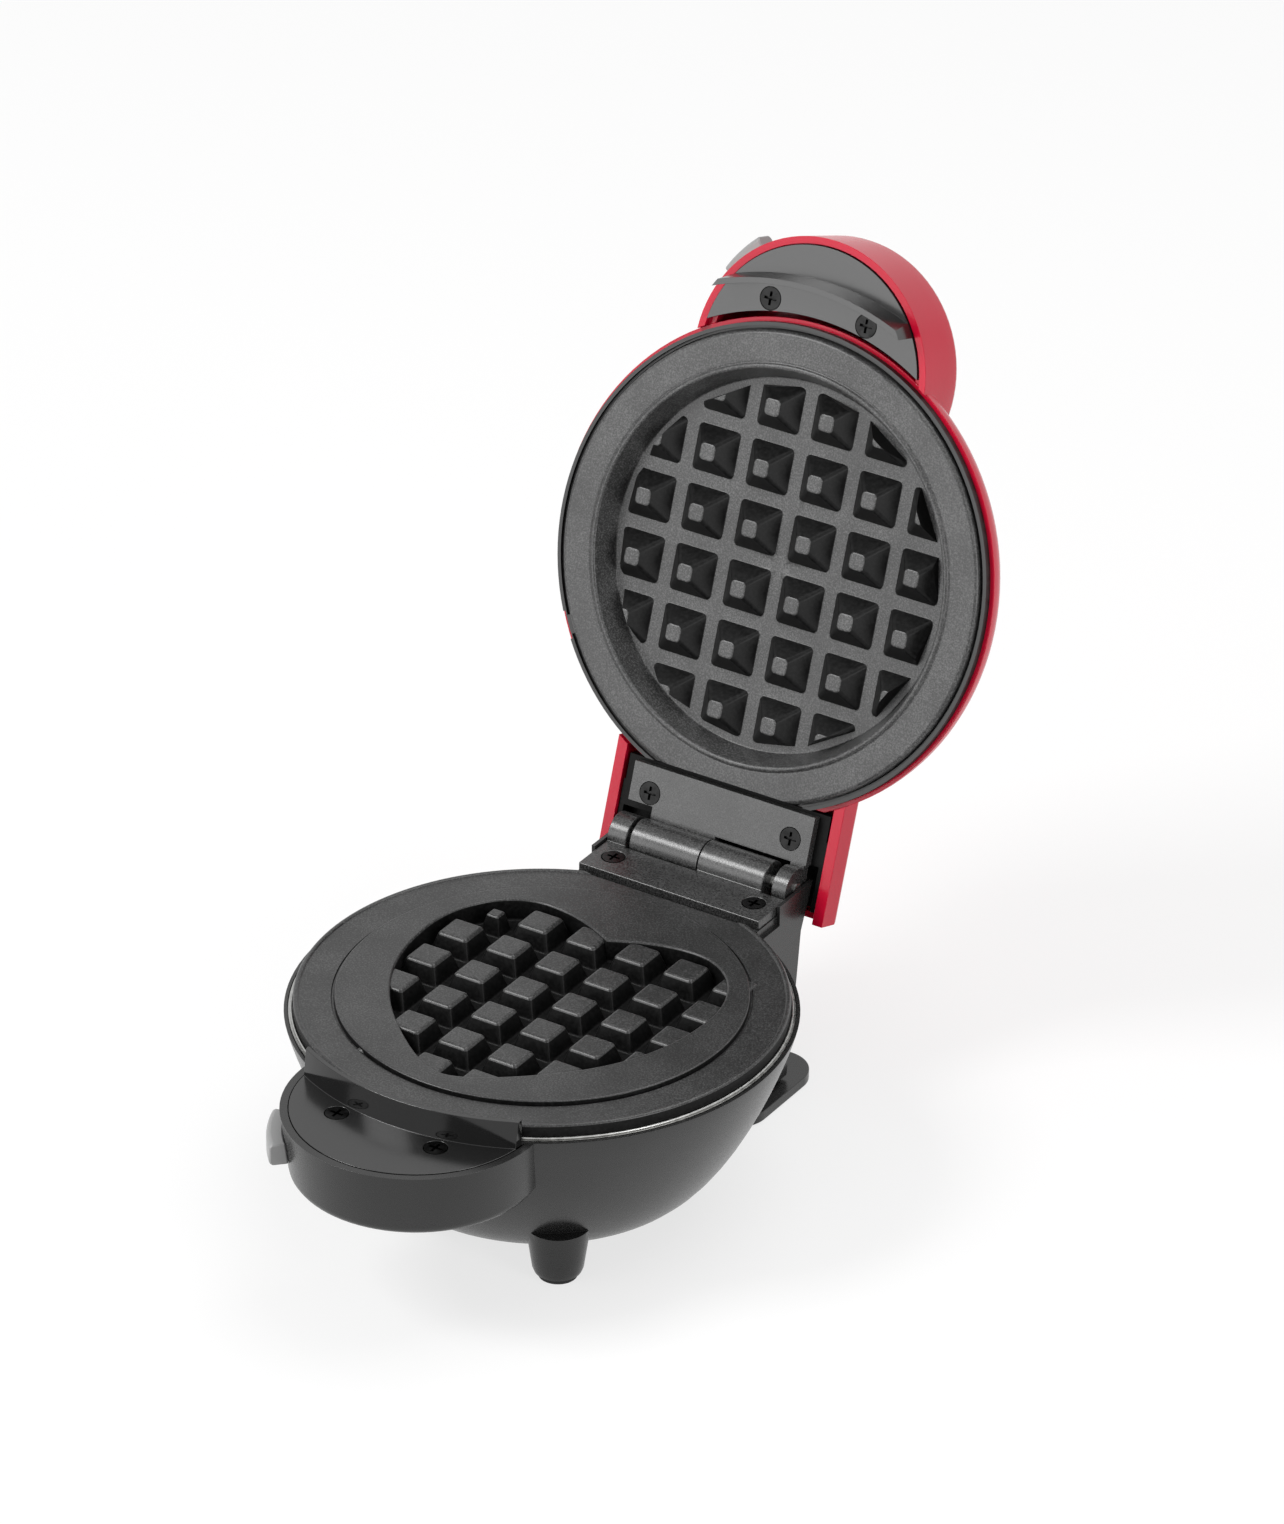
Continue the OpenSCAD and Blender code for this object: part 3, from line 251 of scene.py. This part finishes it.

# Coatings on metal. Numbers: roughness, pebble size in mm, pebble depth in mm and gloss.
# The real pebbles are 0.1 to 0.2 mm; they are drawn two to four times as coarse so that they show.
# On the copies painted darker as shade on steep faces and floors, the pattern is a slow waviness instead.

# Faces of the lower plate: dark grey with pale mica grains, glinting along rounded edges
LOWER_COATING = nonstick_coating("lower_nonstick_on_cast_aluminium", ("#121212", "#222222", "#4a4a4a"),
                                 0.34, 0.42, 0.035, 0.45)
# Painted shade: the same coating made nearly black, with few grains, on its pocket walls, peg sides and
# pocket floor
LOWER_PAINTED_SHADE = nonstick_coating("lower_nonstick_painted_shade", ("#0c0c0c", "#111111", "#191919"),
                                0.4, 0.9, 0.01, 0.1)
# Faces of the upper plate: an evenly speckled grey, the same coating as the lower plate's, painted paler as
# light because it stands up to the light
UPPER_COATING = nonstick_coating("upper_nonstick_on_cast_aluminium", ("#222222", "#363636", "#606060"),
                                 0.36, 0.42, 0.035, 0.45)
# Painted shade: the same coating made dark and smooth, with a soft sheen, on its peg sides
UPPER_PAINTED_SHADE = nonstick_coating("upper_nonstick_painted_shade", ("#0e0e0e", "#141414", "#1e1e1e"),
                                0.36, 0.9, 0.01, 0.16)
# Powder coat on the hinge: dark grey, finely pebbled, with long highlights on its barrel
HINGE_COATING = nonstick_coating("hinge_powder_coat_on_steel", ("#1a1a1a", "#292929", "#4e4e4e"),
                                 0.29, 0.45, 0.018, 0.6)

# Metals. The number is the roughness; rub marks are drawn at their real size.

# Bright thin plating: a light line at the plate's edge, and shiny screws
STEEL = worked_metal("zinc_plated_steel", ("#a2a2a0", "#bcbcba"), 0.32)
# Stamped ring that heat has dulled: dark grey with a weak spread-out shine
SHIELD_STEEL = worked_metal("heat_dulled_aluminised_steel", ("#3c3c3c", "#484848"), 0.48)
# Drawn and annealed tube: brownish grey, half matt
HEATER_STEEL = worked_metal("annealed_stainless_tube", ("#6f6d69", "#8a8884"), 0.45)
# Oxide-blacked screws: black with small bright glints in the cross
BLACK_STEEL = worked_metal("black_oxide_steel", ("#1a1a1a", "#2a2a2a"), 0.3)
# Turned brass: soft yellow shine
BRASS = worked_metal("bright_brass", ("#a8924f", "#c2ad68"), 0.3)

# Lamp parts. The number is the roughness.

# Moulded window: clear, with a trace of milk in it
CLEAR = lamp_glass("clear_polycarbonate", ("#e6e6e6", "#f2f2f2"), 0.08)
# Drawn lamp glass: honey-coloured
AMBER = lamp_glass("amber_neon_glass", ("#c98a2c", "#dda24a"), 0.12)

NODE_MATERIALS = {
    "base_shell": CHARCOAL, "rear_foot": CHARCOAL, "base_handle_panel": PANEL, "lid_handle_panel": PANEL,
    "heart_plate": LOWER_COATING, "base_hinge_leaf": HINGE_COATING, "grid_plate": UPPER_COATING,
    "lid_hinge_leaf": HINGE_COATING, "lid_cover": RED, "lid_liner": LINER, "base_grip_tab": TAB,
    "lid_grip_tab": TAB, "base_heat_shield": STEEL, "lid_heat_shield": SHIELD_STEEL, "hinge_pin": STEEL,
    "base_heater": HEATER_STEEL, "lid_heater": HEATER_STEEL, "thermostat": HEATER_STEEL,
    "thermal_fuse": BRASS, "terminal_block": IVORY, "cord_bushing": RUBBER, "front_foot_pads": RUBBER,
    "rear_foot_pads": RUBBER, "rear_foot_screws": STEEL, "base_plate_screws": STEEL,
    "lid_plate_screws": STEEL, "base_leaf_screws": BLACK_STEEL, "lid_leaf_screws": BLACK_STEEL,
    "base_panel_screws": BLACK_STEEL, "lid_panel_screws": BLACK_STEEL, "base_wiring": SLEEVE,
    "lid_wiring": SLEEVE, "indicator_lens": CLEAR, "indicator_lamp": AMBER,
}
for node_name, node_material in NODE_MATERIALS.items():
    slots = frame["nodes"][node_name].data.materials
    slots.clear()
    slots.append(node_material)


# Making pieces

SHARP_DEG = 30                      # an edge that turns more than this stays sharp
COPY_SHARP_DEG = 32                 # the same, on copies of the solids
LATHE_STEPS = 144
SEAM_MM = 1e-5
POLE_MM = 1e-4
COPY_SEAM_M = 2e-6
FLAT_DEG = 0.2                      # facets of a solid that turn less than this are one face
LEVEL_MM = 0.01                     # an edge that rises less than this is level


def add_object(name, data):
    made = bpy.data.objects.new(name, data)
    bpy.context.scene.collection.objects.link(made)
    return made


def mesh_of(bm, name):
    """Turns a bmesh into a mesh and lets the bmesh go."""
    mesh = bpy.data.meshes.new(name)
    bm.to_mesh(mesh)
    bm.free()
    return mesh


def shade(bm, sharp_deg):
    """Smooths every face and keeps the edges sharp that turn by more than an angle."""
    for face in bm.faces:
        face.smooth = True
    for edge in bm.edges:
        edge.smooth = len(edge.link_faces) == 2 and edge.calc_face_angle(0) < math.radians(sharp_deg)


def finish_piece(bm, name, node, place, materials, second=None, sharp_deg=SHARP_DEG, soft_mm=0.0,
                 stands_for=True):
    """Faces that second picks out take the second material.
    """
    bmesh.ops.remove_doubles(bm, verts=bm.verts, dist=SEAM_MM)
    bmesh.ops.recalc_face_normals(bm, faces=bm.faces)
    bm.normal_update()
    for face in bm.faces:
        face.material_index = 1 if second and second(face) else 0
    bmesh.ops.transform(bm, matrix=Matrix.Diagonal((MM, MM, MM, 1)) @ place, verts=bm.verts)
    shade(bm, sharp_deg)
    piece = add_object(name, mesh_of(bm, name))
    for material in materials:
        piece.data.materials.append(material)
    if soft_mm:
        bevel = piece.modifiers.new("softened edges", "BEVEL")
        bevel.width = soft_mm * MM
        bevel.segments = 2
        bevel.limit_method = "ANGLE"
        bevel.angle_limit = math.radians(sharp_deg)
        bevel.use_clamp_overlap = True
    piece.modifiers.new("flat faces stay flat", "WEIGHTED_NORMAL").keep_sharp = True
    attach(piece, "base" if node in BASE_NODES else "lid")
    if stands_for:
        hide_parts(node)


def arc(centre, radius, start_deg, end_deg, steps):
    """Points along a part of a circle, from one angle to another."""
    angles = [math.radians(start_deg + (end_deg - start_deg) * i / steps) for i in range(steps + 1)]
    return [(centre[0] + radius * math.cos(angle), centre[1] + radius * math.sin(angle)) for angle in angles]


def lathe(profile):
    """Spins a (radius, height) profile about Z into a closed shape."""
    bm = bmesh.new()
    verts = [bm.verts.new((r, 0, z)) for r, z in profile]
    edges = [bm.edges.new((a, b)) for a, b in zip(verts, verts[1:])]
    bmesh.ops.spin(bm, geom=verts + edges, axis=(0, 0, 1), cent=(0, 0, 0), steps=LATHE_STEPS,
                   angle=math.tau, use_merge=True)
    bmesh.ops.remove_doubles(bm, verts=bm.verts, dist=POLE_MM)
    bmesh.ops.recalc_face_normals(bm, faces=bm.faces)
    return bm


def round_off(bm, edges, width, segments=3):
    bmesh.ops.bevel(bm, geom=edges, offset=width, offset_type="OFFSET", segments=segments,
                    profile=0.5, affect="EDGES", clamp_overlap=True, material=-1)


def cut_flat(bm, point, normal, soft):
    """Cuts away what lies beyond a plane, closes the cut and rounds its edges."""
    cut = bmesh.ops.bisect_plane(bm, geom=bm.verts[:] + bm.edges[:] + bm.faces[:], plane_co=point,
                                 plane_no=normal, clear_outer=True)
    edges = [item for item in cut["geom_cut"] if isinstance(item, bmesh.types.BMEdge)]
    bmesh.ops.edgenet_fill(bm, edges=edges)
    round_off(bm, [edge for edge in edges if edge.is_valid], soft)


def boolean(bm, other, operation):
    """Joins or cuts one closed shape with another, exactly, and gives the result as a new bmesh."""
    holders = [add_object("shape", mesh_of(shape, "shape")) for shape in (bm, other)]
    modifier = holders[0].modifiers.new("boolean", "BOOLEAN")
    modifier.operation = operation
    modifier.solver = "EXACT"
    modifier.object = holders[1]
    result = bmesh.new()
    result.from_object(holders[0], bpy.context.evaluated_depsgraph_get())
    for holder in holders:
        mesh = holder.data
        bpy.data.objects.remove(holder)
        bpy.data.meshes.remove(mesh)
    return result


def gather(bm, part):
    """Adds one shape's faces to another's and lets the first go."""
    mesh = mesh_of(part, "part")
    bm.from_mesh(mesh)
    bpy.data.meshes.remove(mesh)


def round_steps(radius, steps):
    """(inset, height) steps of a convex quarter round, from a wall into a top."""
    angles = [math.radians(90 * i / steps) for i in range(steps + 1)]
    return [(radius * (math.cos(a) - math.cos(b)), radius * (math.sin(b) - math.sin(a)))
            for a, b in zip(angles, angles[1:])]


def hollow_steps(radius, steps):
    """Steps that start flat and end upright: a fillet out of a floor, or a rounded edge into a hole."""
    return list(reversed(round_steps(radius, steps)))


def raised_form(bm, points, drop, steps):
    """Extrudes a flat face from its corner points by drop, and builds it further in (inset, height) steps."""
    face = bm.faces.new([bm.verts.new(point) for point in points])
    face.normal_update()
    way = face.normal.copy()
    made = bmesh.ops.extrude_face_region(bm, geom=[face], use_keep_orig=True)
    end = [item for item in made["geom"] if isinstance(item, bmesh.types.BMFace)][0]
    bmesh.ops.translate(bm, verts=end.verts, vec=way * drop)
    for inset, height in steps:
        bmesh.ops.inset_region(bm, faces=[end], thickness=inset, depth=height, use_even_offset=True)


# The cooking plates, each in millimetres about its own axis

ROOT = 1.0                          # how deep a peg reaches into its floor, and a cutter stands over its face


def square_peg(centre, widths, height, edges):
    """A tapered square peg with a filleted foot, soft corners and a rounded top."""
    bm = bmesh.new()
    base, top = widths
    corner, foot, crown = edges
    half = base / 2 + foot
    points = [(centre[0] + x, centre[1] + y, -ROOT)
              for x, y in ((-half, -half), (half, -half), (half, half), (-half, half))]
    raised_form(bm, points, ROOT, hollow_steps(foot, 3) + [((base - top) / 2, height - foot)])
    bmesh.ops.recalc_face_normals(bm, faces=bm.faces)
    bm.normal_update()
    round_off(bm, [edge for edge in bm.edges
                   if abs(edge.verts[0].co.z - edge.verts[1].co.z) > LEVEL_MM], corner, 4)
    head = max(bm.faces, key=lambda face: face.calc_center_median().z)
    round_off(bm, list(head.edges), crown)
    return bm


def bezier(p, t):
    return tuple(p[0][k] * (1 - t) ** 3 + 3 * p[1][k] * t * (1 - t) ** 2 + 3 * p[2][k] * t * t * (1 - t)
                 + p[3][k] * t ** 3 for k in (0, 1))


def heart_outline():
    """Half of the heart as curves from its notch to its tip, then the other half mirrored."""
    w, top, cusp, tip = HEART_HALF_W, HEART_TOP, HEART_CUSP, HEART_TIP
    curves = [([(0, cusp), (0.145 * w, cusp + 3.2), (0.313 * w, top), (0.53 * w, top)], 12),
              ([(0.53 * w, top), (0.795 * w, top), (w, 0.685 * top), (w, 0.329 * top)], 16),
              ([(w, 0.329 * top), (w, -0.132 * tip), (0.843 * w, -0.418 * tip),
                (0.566 * w, -0.666 * tip)], 14),
              ([(0.566 * w, -0.666 * tip), (0.386 * w, -0.824 * tip), (0.145 * w, -tip), (0, -tip)], 10)]
    half = [bezier(points, i / steps) for points, steps in curves for i in range(steps)] + [(0, -tip)]
    return half + [(-x, y) for x, y in reversed(half[1:-1])]


def outset(outline, i, distance):
    """The i-th point of a clockwise outline, moved outwards along both of its sides' normals."""
    back = Vector(outline[i]) - Vector(outline[i - 1])
    ahead = Vector(outline[(i + 1) % len(outline)]) - Vector(outline[i])
    normals = [Vector((-side.y, side.x)).normalized() for side in (back, ahead)]
    middle = (normals[0] + normals[1]).normalized()
    return Vector(outline[i]) + middle * distance / middle.dot(normals[0])


def inside_heart(x, y, outline):
    inside = False
    for (x0, y0), (x1, y1) in zip(outline, outline[1:] + outline[:1]):
        if (y0 > y) != (y1 > y) and x < (x1 - x0) * (y - y0) / (y1 - y0) + x0:
            inside = not inside
    return inside


def heart_painted_shade_faces(face):
    """Walls, peg sides and the pocket's floor, which take the painted shade."""
    deep = 4
    return face.normal.z < 0.4 or face.calc_center_median().z < PLATE_Z - deep


def heart_plate():
    """The lower plate: a raised round face with a heart pocket full of pegs, and a bead round its skirt."""
    edge = 0.5                      # round edge of the raised face
    groove = ((0.1, 0.4), (0.6, 0.4), (0.8, 0.0))   # groove at its foot: (out from the face, deep)
    bead = 0.8                      # round bead on the skirt's edge
    bead_sunk = 0.35                # its centre, under the flange
    bead_foot = 2.2                 # where it leaves the flange, in from the edge
    flange_z = PLATE_Z - PLATEAU_H
    bottom = flange_z - SKIRT_H
    floor_z = PLATE_Z - POCKET_DEPTH
    profile = ([(0, PLATE_Z)] + arc((PLATEAU_R - edge, PLATE_Z - edge), edge, 90, 10, 4)
               + [(PLATEAU_R + out, flange_z - deep) for out, deep in groove]
               + [(PLATE_R - bead_foot, flange_z)]
               + arc((PLATE_R - bead, flange_z - bead_sunk), bead, 150, 0, 7)
               + [(PLATE_R, bottom), (PLATE_R - SKIRT_WALL, bottom),
                  (PLATE_R - SKIRT_WALL, flange_z - FLANGE_T), (PLATEAU_R - FLANGE_T, flange_z - FLANGE_T),
                  (PLATEAU_R - FLANGE_T, floor_z - WEB), (0, floor_z - WEB)])
    plate = lathe(profile)
    cut_flat(plate, (0, CHORD_Y, 0), (0, 1, 0), CHORD_EDGE)

    outline = heart_outline()
    rim = 0.7                       # round edge of the pocket's mouth
    floor = 0.8                     # round edge of its floor
    draft = 0.35                    # how far its wall leans in
    cutter = bmesh.new()
    mouth = [outset(outline, i, rim) for i in range(len(outline))]
    raised_form(cutter, [(x, y, PLATE_Z + ROOT) for x, y in mouth], ROOT,
                hollow_steps(rim, 4) + [(draft, POCKET_DEPTH - rim - floor)] + round_steps(floor, 4))
    bmesh.ops.recalc_face_normals(cutter, faces=cutter.faces)
    plate = boolean(plate, cutter, "DIFFERENCE")

    pegs = bmesh.new()
    reach = HEART_PEG[0] / 2
    for i in range(HEART_CELLS):
        for j in range(HEART_CELLS):
            x = HEART_SHIFT[0] + (i - HEART_MIDDLE[0]) * HEART_PITCH
            y = HEART_SHIFT[1] + (j - HEART_MIDDLE[1]) * HEART_PITCH
            corners = [(x + dx, y + dy) for dx in (-reach, 0, reach) for dy in (-reach, 0, reach)]
            if (i, j) == NARROW_PEG_CELL:
                gather(pegs, square_peg(NARROW_PEG_AT, NARROW_PEG, HEART_PEG_H, NARROW_PEG_EDGES))
            elif any(inside_heart(cx, cy, outline) for cx, cy in corners):
                gather(pegs, square_peg((x, y), HEART_PEG, HEART_PEG_H, HEART_PEG_EDGES))
    bmesh.ops.translate(pegs, verts=pegs.verts, vec=(0, 0, floor_z))
    plate = boolean(plate, pegs, "UNION")
    # The pocket's walls, peg sides and floor take the coating painted darker as shade
    finish_piece(plate, "heart_plate_dressed", "heart_plate", BASE, (LOWER_COATING, LOWER_PAINTED_SHADE),
                 heart_painted_shade_faces)


def grid_painted_shade_faces(face):
    """Peg sides, down to where their feet round into the floor, which take the painted shade."""
    return face.normal.z < 0.86 and face.calc_center_median().xy.length < GRID_PEG_R + 0.5


def grid_plate():
    """The upper plate, its face up: a flange, a bead round the pocket's mouth and a grid of pegs."""
    lip = 1.2                       # round outer edge of the flange
    shelf = 2.9                     # lowest point of its skirt
    foot = 0.6                      # round edge of the pocket's floor
    bead = 0.8                      # round bead on the pocket's mouth
    bead_sunk = 0.35                # its centre, under the flange
    bead_over = 0.2                 # how far it hangs over the pocket
    bead_end = GRID_POCKET_R + 2 * bead
    dip = 0.15                      # shallow dip between the bead and the flange
    dip_width = 0.4
    back = 2.2                      # how much wider the pocket's back is than its floor
    profile = ([(0, 0), (GRID_FLOOR_R - foot, 0)] + arc((GRID_FLOOR_R - foot, foot), foot, -70, -10, 4)
               + arc((GRID_POCKET_R + bead - bead_over, GRID_DEPTH - bead_sunk), bead, 180, 20, 7)
               + [(bead_end, GRID_DEPTH - dip), (bead_end + dip_width, GRID_DEPTH)]
               + arc((GRID_R - lip, GRID_DEPTH - lip), lip, 90, 0, 6)
               + [(GRID_R, shelf), (GRID_R - SKIRT_WALL, shelf),
                  (GRID_R - SKIRT_WALL, GRID_DEPTH - FLANGE_T),
                  (GRID_POCKET_R + SKIRT_WALL, GRID_DEPTH - FLANGE_T),
                  (GRID_FLOOR_R + back, -WEB), (0, -WEB)])
    plate = lathe(profile)
    cut_flat(plate, (0, -LID_CHORD, 0), (0, -1, 0), CHORD_EDGE)

    pegs = bmesh.new()
    half = GRID_PEG[0] / 2
    sliver = 1.5                    # a peg that would show less than this of itself is left out
    lean = 0.12                     # slope of the side where the pocket's wall cuts a peg
    cut_edge = 0.4
    for i in range(GRID_CELLS):
        for j in range(GRID_CELLS):
            x = (i - GRID_MIDDLE) * GRID_PITCH
            y = (j - GRID_MIDDLE) * GRID_PITCH
            if math.hypot(abs(x) - half, abs(y) - half) > GRID_PEG_R - sliver:
                continue
            peg = square_peg((x, y), GRID_PEG, GRID_PEG_H, GRID_PEG_EDGES)
            if math.hypot(abs(x) + half, abs(y) + half) > GRID_PEG_R:
                outward = Vector((x, y, 0)).normalized()
                cut_flat(peg, outward * GRID_PEG_R, (outward + Vector((0, 0, lean))).normalized(), cut_edge)
            gather(pegs, peg)
    plate = boolean(plate, pegs, "UNION")
    # The pegs' sides take the coating painted darker as shade
    finish_piece(plate, "grid_plate_dressed", "grid_plate", LID, (UPPER_COATING, UPPER_PAINTED_SHADE), grid_painted_shade_faces)


heart_plate()
grid_plate()


# Housings and the rest, from the solids, with their seams merged and their curves shaded smooth

def dressed_copy(node, soft_mm, second_material=None, second=None):
    """A copy of a solid with softened edges, and a second finish where it has one."""
    bm = bmesh.new()
    bm.from_mesh(frame["nodes"][node].data)
    bmesh.ops.remove_doubles(bm, verts=bm.verts, dist=COPY_SEAM_M)
    bmesh.ops.dissolve_limit(bm, angle_limit=math.radians(FLAT_DEG), verts=bm.verts, edges=bm.edges)
    bmesh.ops.transform(bm, matrix=Matrix.Diagonal((1 / MM, 1 / MM, 1 / MM, 1)), verts=bm.verts)
    finishes = [material for material in (NODE_MATERIALS[node], second_material) if material]
    finish_piece(bm, node + "_dressed", node, Matrix.Identity(4), finishes, second, COPY_SHARP_DEG, soft_mm)


# How wide each one's edges are softened, in millimetres
SOFTENED = {
    "base_shell": 0.25, "lid_cover": 0.3, "lid_handle_panel": 0.25, "base_hinge_leaf": 0.35,
    "lid_hinge_leaf": 0.35, "rear_foot": 0.4, "base_grip_tab": 0.4, "lid_grip_tab": 0.4,
    "lid_heat_shield": 0.12, "lid_liner": 0.2,
}
for node_name, softness in SOFTENED.items():
    dressed_copy(node_name, softness)


def panel_painted_shade_side(face):
    """All but the upward faces: the panel's rim, its underside and the guard's walls, which take the black
    painted darker as shade.
    """
    return face.normal.z < 0.5


# The panel's faces that don't face up take a polished black painted darker as shade
dressed_copy("base_handle_panel", 0.25, POLISHED_PAINTED_SHADE, panel_painted_shade_side)


def shield_bead():
    """The rolled bright edge of the lower heat shield, just under the plate's skirt."""
    bead = 0.3
    stand_out = 0.35                # from the skirt
    lift = 0.28                     # over the skirt's lower edge
    short = 1                       # how far it ends before the plate's straight cut
    height = PLATE_Z - PLATEAU_H - SKIRT_H + lift
    ring = lathe(arc((PLATE_R + stand_out, height), bead, 180, -180, 12))
    cut_flat(ring, (0, CHORD_Y - short, 0), (0, 1, 0), 0.1)
    finish_piece(ring, "shield_bead", "base_heat_shield", BASE, (STEEL,), stands_for=False)


shield_bead()


# Studio. The camera's place is in degrees and millimetres; lamps are in metres and watts.

IMAGE_H = 1524
FOCAL_PX = 9192.83
SENSOR_MM = 36
CAMERA_AZIMUTH = 32.218
CAMERA_ELEVATION = 29.697
CAMERA_ROLL = 0.577
CAMERA_DISTANCE = 2299.0
CAMERA_TARGET = (0, AXIS_Y + 45.516, 99.587)
FAR_CLIP = 20

# place, point it faces, width and height, and power
SOFTBOXES = {
    "front_key": ((-0.75, -1.42, 0.35), (0, 0, 0.12), (1.3, 1.0), 11),
    "high_left": ((-0.8, -0.9, 1.35), (0, 0, 0.05), (0.55, 0.55), 17),
    "overhead": ((0.3, 0.5, 1.7), (0, 0, 0.05), (1.2, 1.2), 13),
    "right_fill": ((1.5, -0.4, 0.5), (0, 0, 0.1), (0.5, 0.9), 8),
}
WORLD_LEVEL = 0.3
FLOOR_HALF_M = 6
FLOOR_WHITE = 0.72                  # share of plain white in the floor that is seen


def studio_camera():
    azimuth, elevation, roll = (math.radians(v) for v in (CAMERA_AZIMUTH, CAMERA_ELEVATION, CAMERA_ROLL))
    back = Vector((math.sin(azimuth) * math.cos(elevation), -math.cos(azimuth) * math.cos(elevation),
                   math.sin(elevation)))
    right = Vector((math.cos(azimuth), math.sin(azimuth), 0))
    up = back.cross(right)
    across = math.cos(roll) * right + math.sin(roll) * up
    upward = math.cos(roll) * up - math.sin(roll) * right
    lens = bpy.data.cameras.new("camera")
    lens.sensor_fit = "VERTICAL"
    lens.sensor_height = SENSOR_MM
    lens.lens = FOCAL_PX / IMAGE_H * SENSOR_MM
    lens.clip_end = FAR_CLIP
    camera = add_object("camera", lens)
    turn = Matrix((across, upward, back)).transposed().to_4x4()
    camera.matrix_world = Matrix.Translation((Vector(CAMERA_TARGET) + back * CAMERA_DISTANCE) * MM) @ turn
    bpy.context.scene.camera = camera


def softbox(name, place, aim, size, power):
    light = bpy.data.lights.new(name, "AREA")
    light.shape = "RECTANGLE"
    light.size, light.size_y = size
    light.energy = power
    lamp = add_object(name, light)
    lamp.location = place
    lamp.rotation_euler = (Vector(aim) - Vector(place)).to_track_quat("-Z", "Y").to_euler()


def white_surround(tree, plain, white):
    """Shows white to the camera, reflections and glass, and the plain level to everything it lights."""
    path = add(tree, "ShaderNodeLightPath").outputs
    seen = add(tree, "ShaderNodeMath", links={0: path["Is Camera Ray"], 1: path["Is Glossy Ray"]},
               operation="MAXIMUM")
    seen = add(tree, "ShaderNodeMath", links={0: seen, 1: path["Is Transmission Ray"]}, operation="MAXIMUM")
    return add(tree, "ShaderNodeMixShader", links={0: seen, 1: plain, 2: white})


def studio_world():
    world = bpy.data.worlds.new("studio")
    world.use_nodes = True
    bpy.context.scene.world = world
    tree = world.node_tree
    tree.nodes.clear()
    plain = add(tree, "ShaderNodeBackground", {"Color": linear("#ffffff"), "Strength": WORLD_LEVEL})
    white = add(tree, "ShaderNodeBackground", {"Color": linear("#ffffff"), "Strength": 1.0})
    add(tree, "ShaderNodeOutputWorld", links={"Surface": white_surround(tree, plain, white)})


def studio_floor():
    bm = bmesh.new()
    bmesh.ops.create_grid(bm, x_segments=1, y_segments=1, size=FLOOR_HALF_M)
    floor = add_object("floor", mesh_of(bm, "floor"))
    # White paper: even and matt, with the object's soft shadow on it
    material = bpy.data.materials.new("white_paper_sweep")
    material.use_nodes = True
    tree = material.node_tree
    tree.nodes.clear()
    paper = add(tree, "ShaderNodeBsdfDiffuse", {"Color": linear("#f7f7f7")})
    white = add(tree, "ShaderNodeEmission", {"Color": linear("#ffffff"), "Strength": 1.0})
    lit = add(tree, "ShaderNodeMixShader", {0: FLOOR_WHITE}, {1: paper, 2: white})
    add(tree, "ShaderNodeOutputMaterial", links={"Surface": white_surround(tree, paper, lit)})
    floor.data.materials.append(material)


studio_camera()
studio_world()
studio_floor()
for lamp_name, lamp_setting in SOFTBOXES.items():
    softbox(lamp_name, *lamp_setting)
bpy.context.scene.view_settings.view_transform = "Standard"
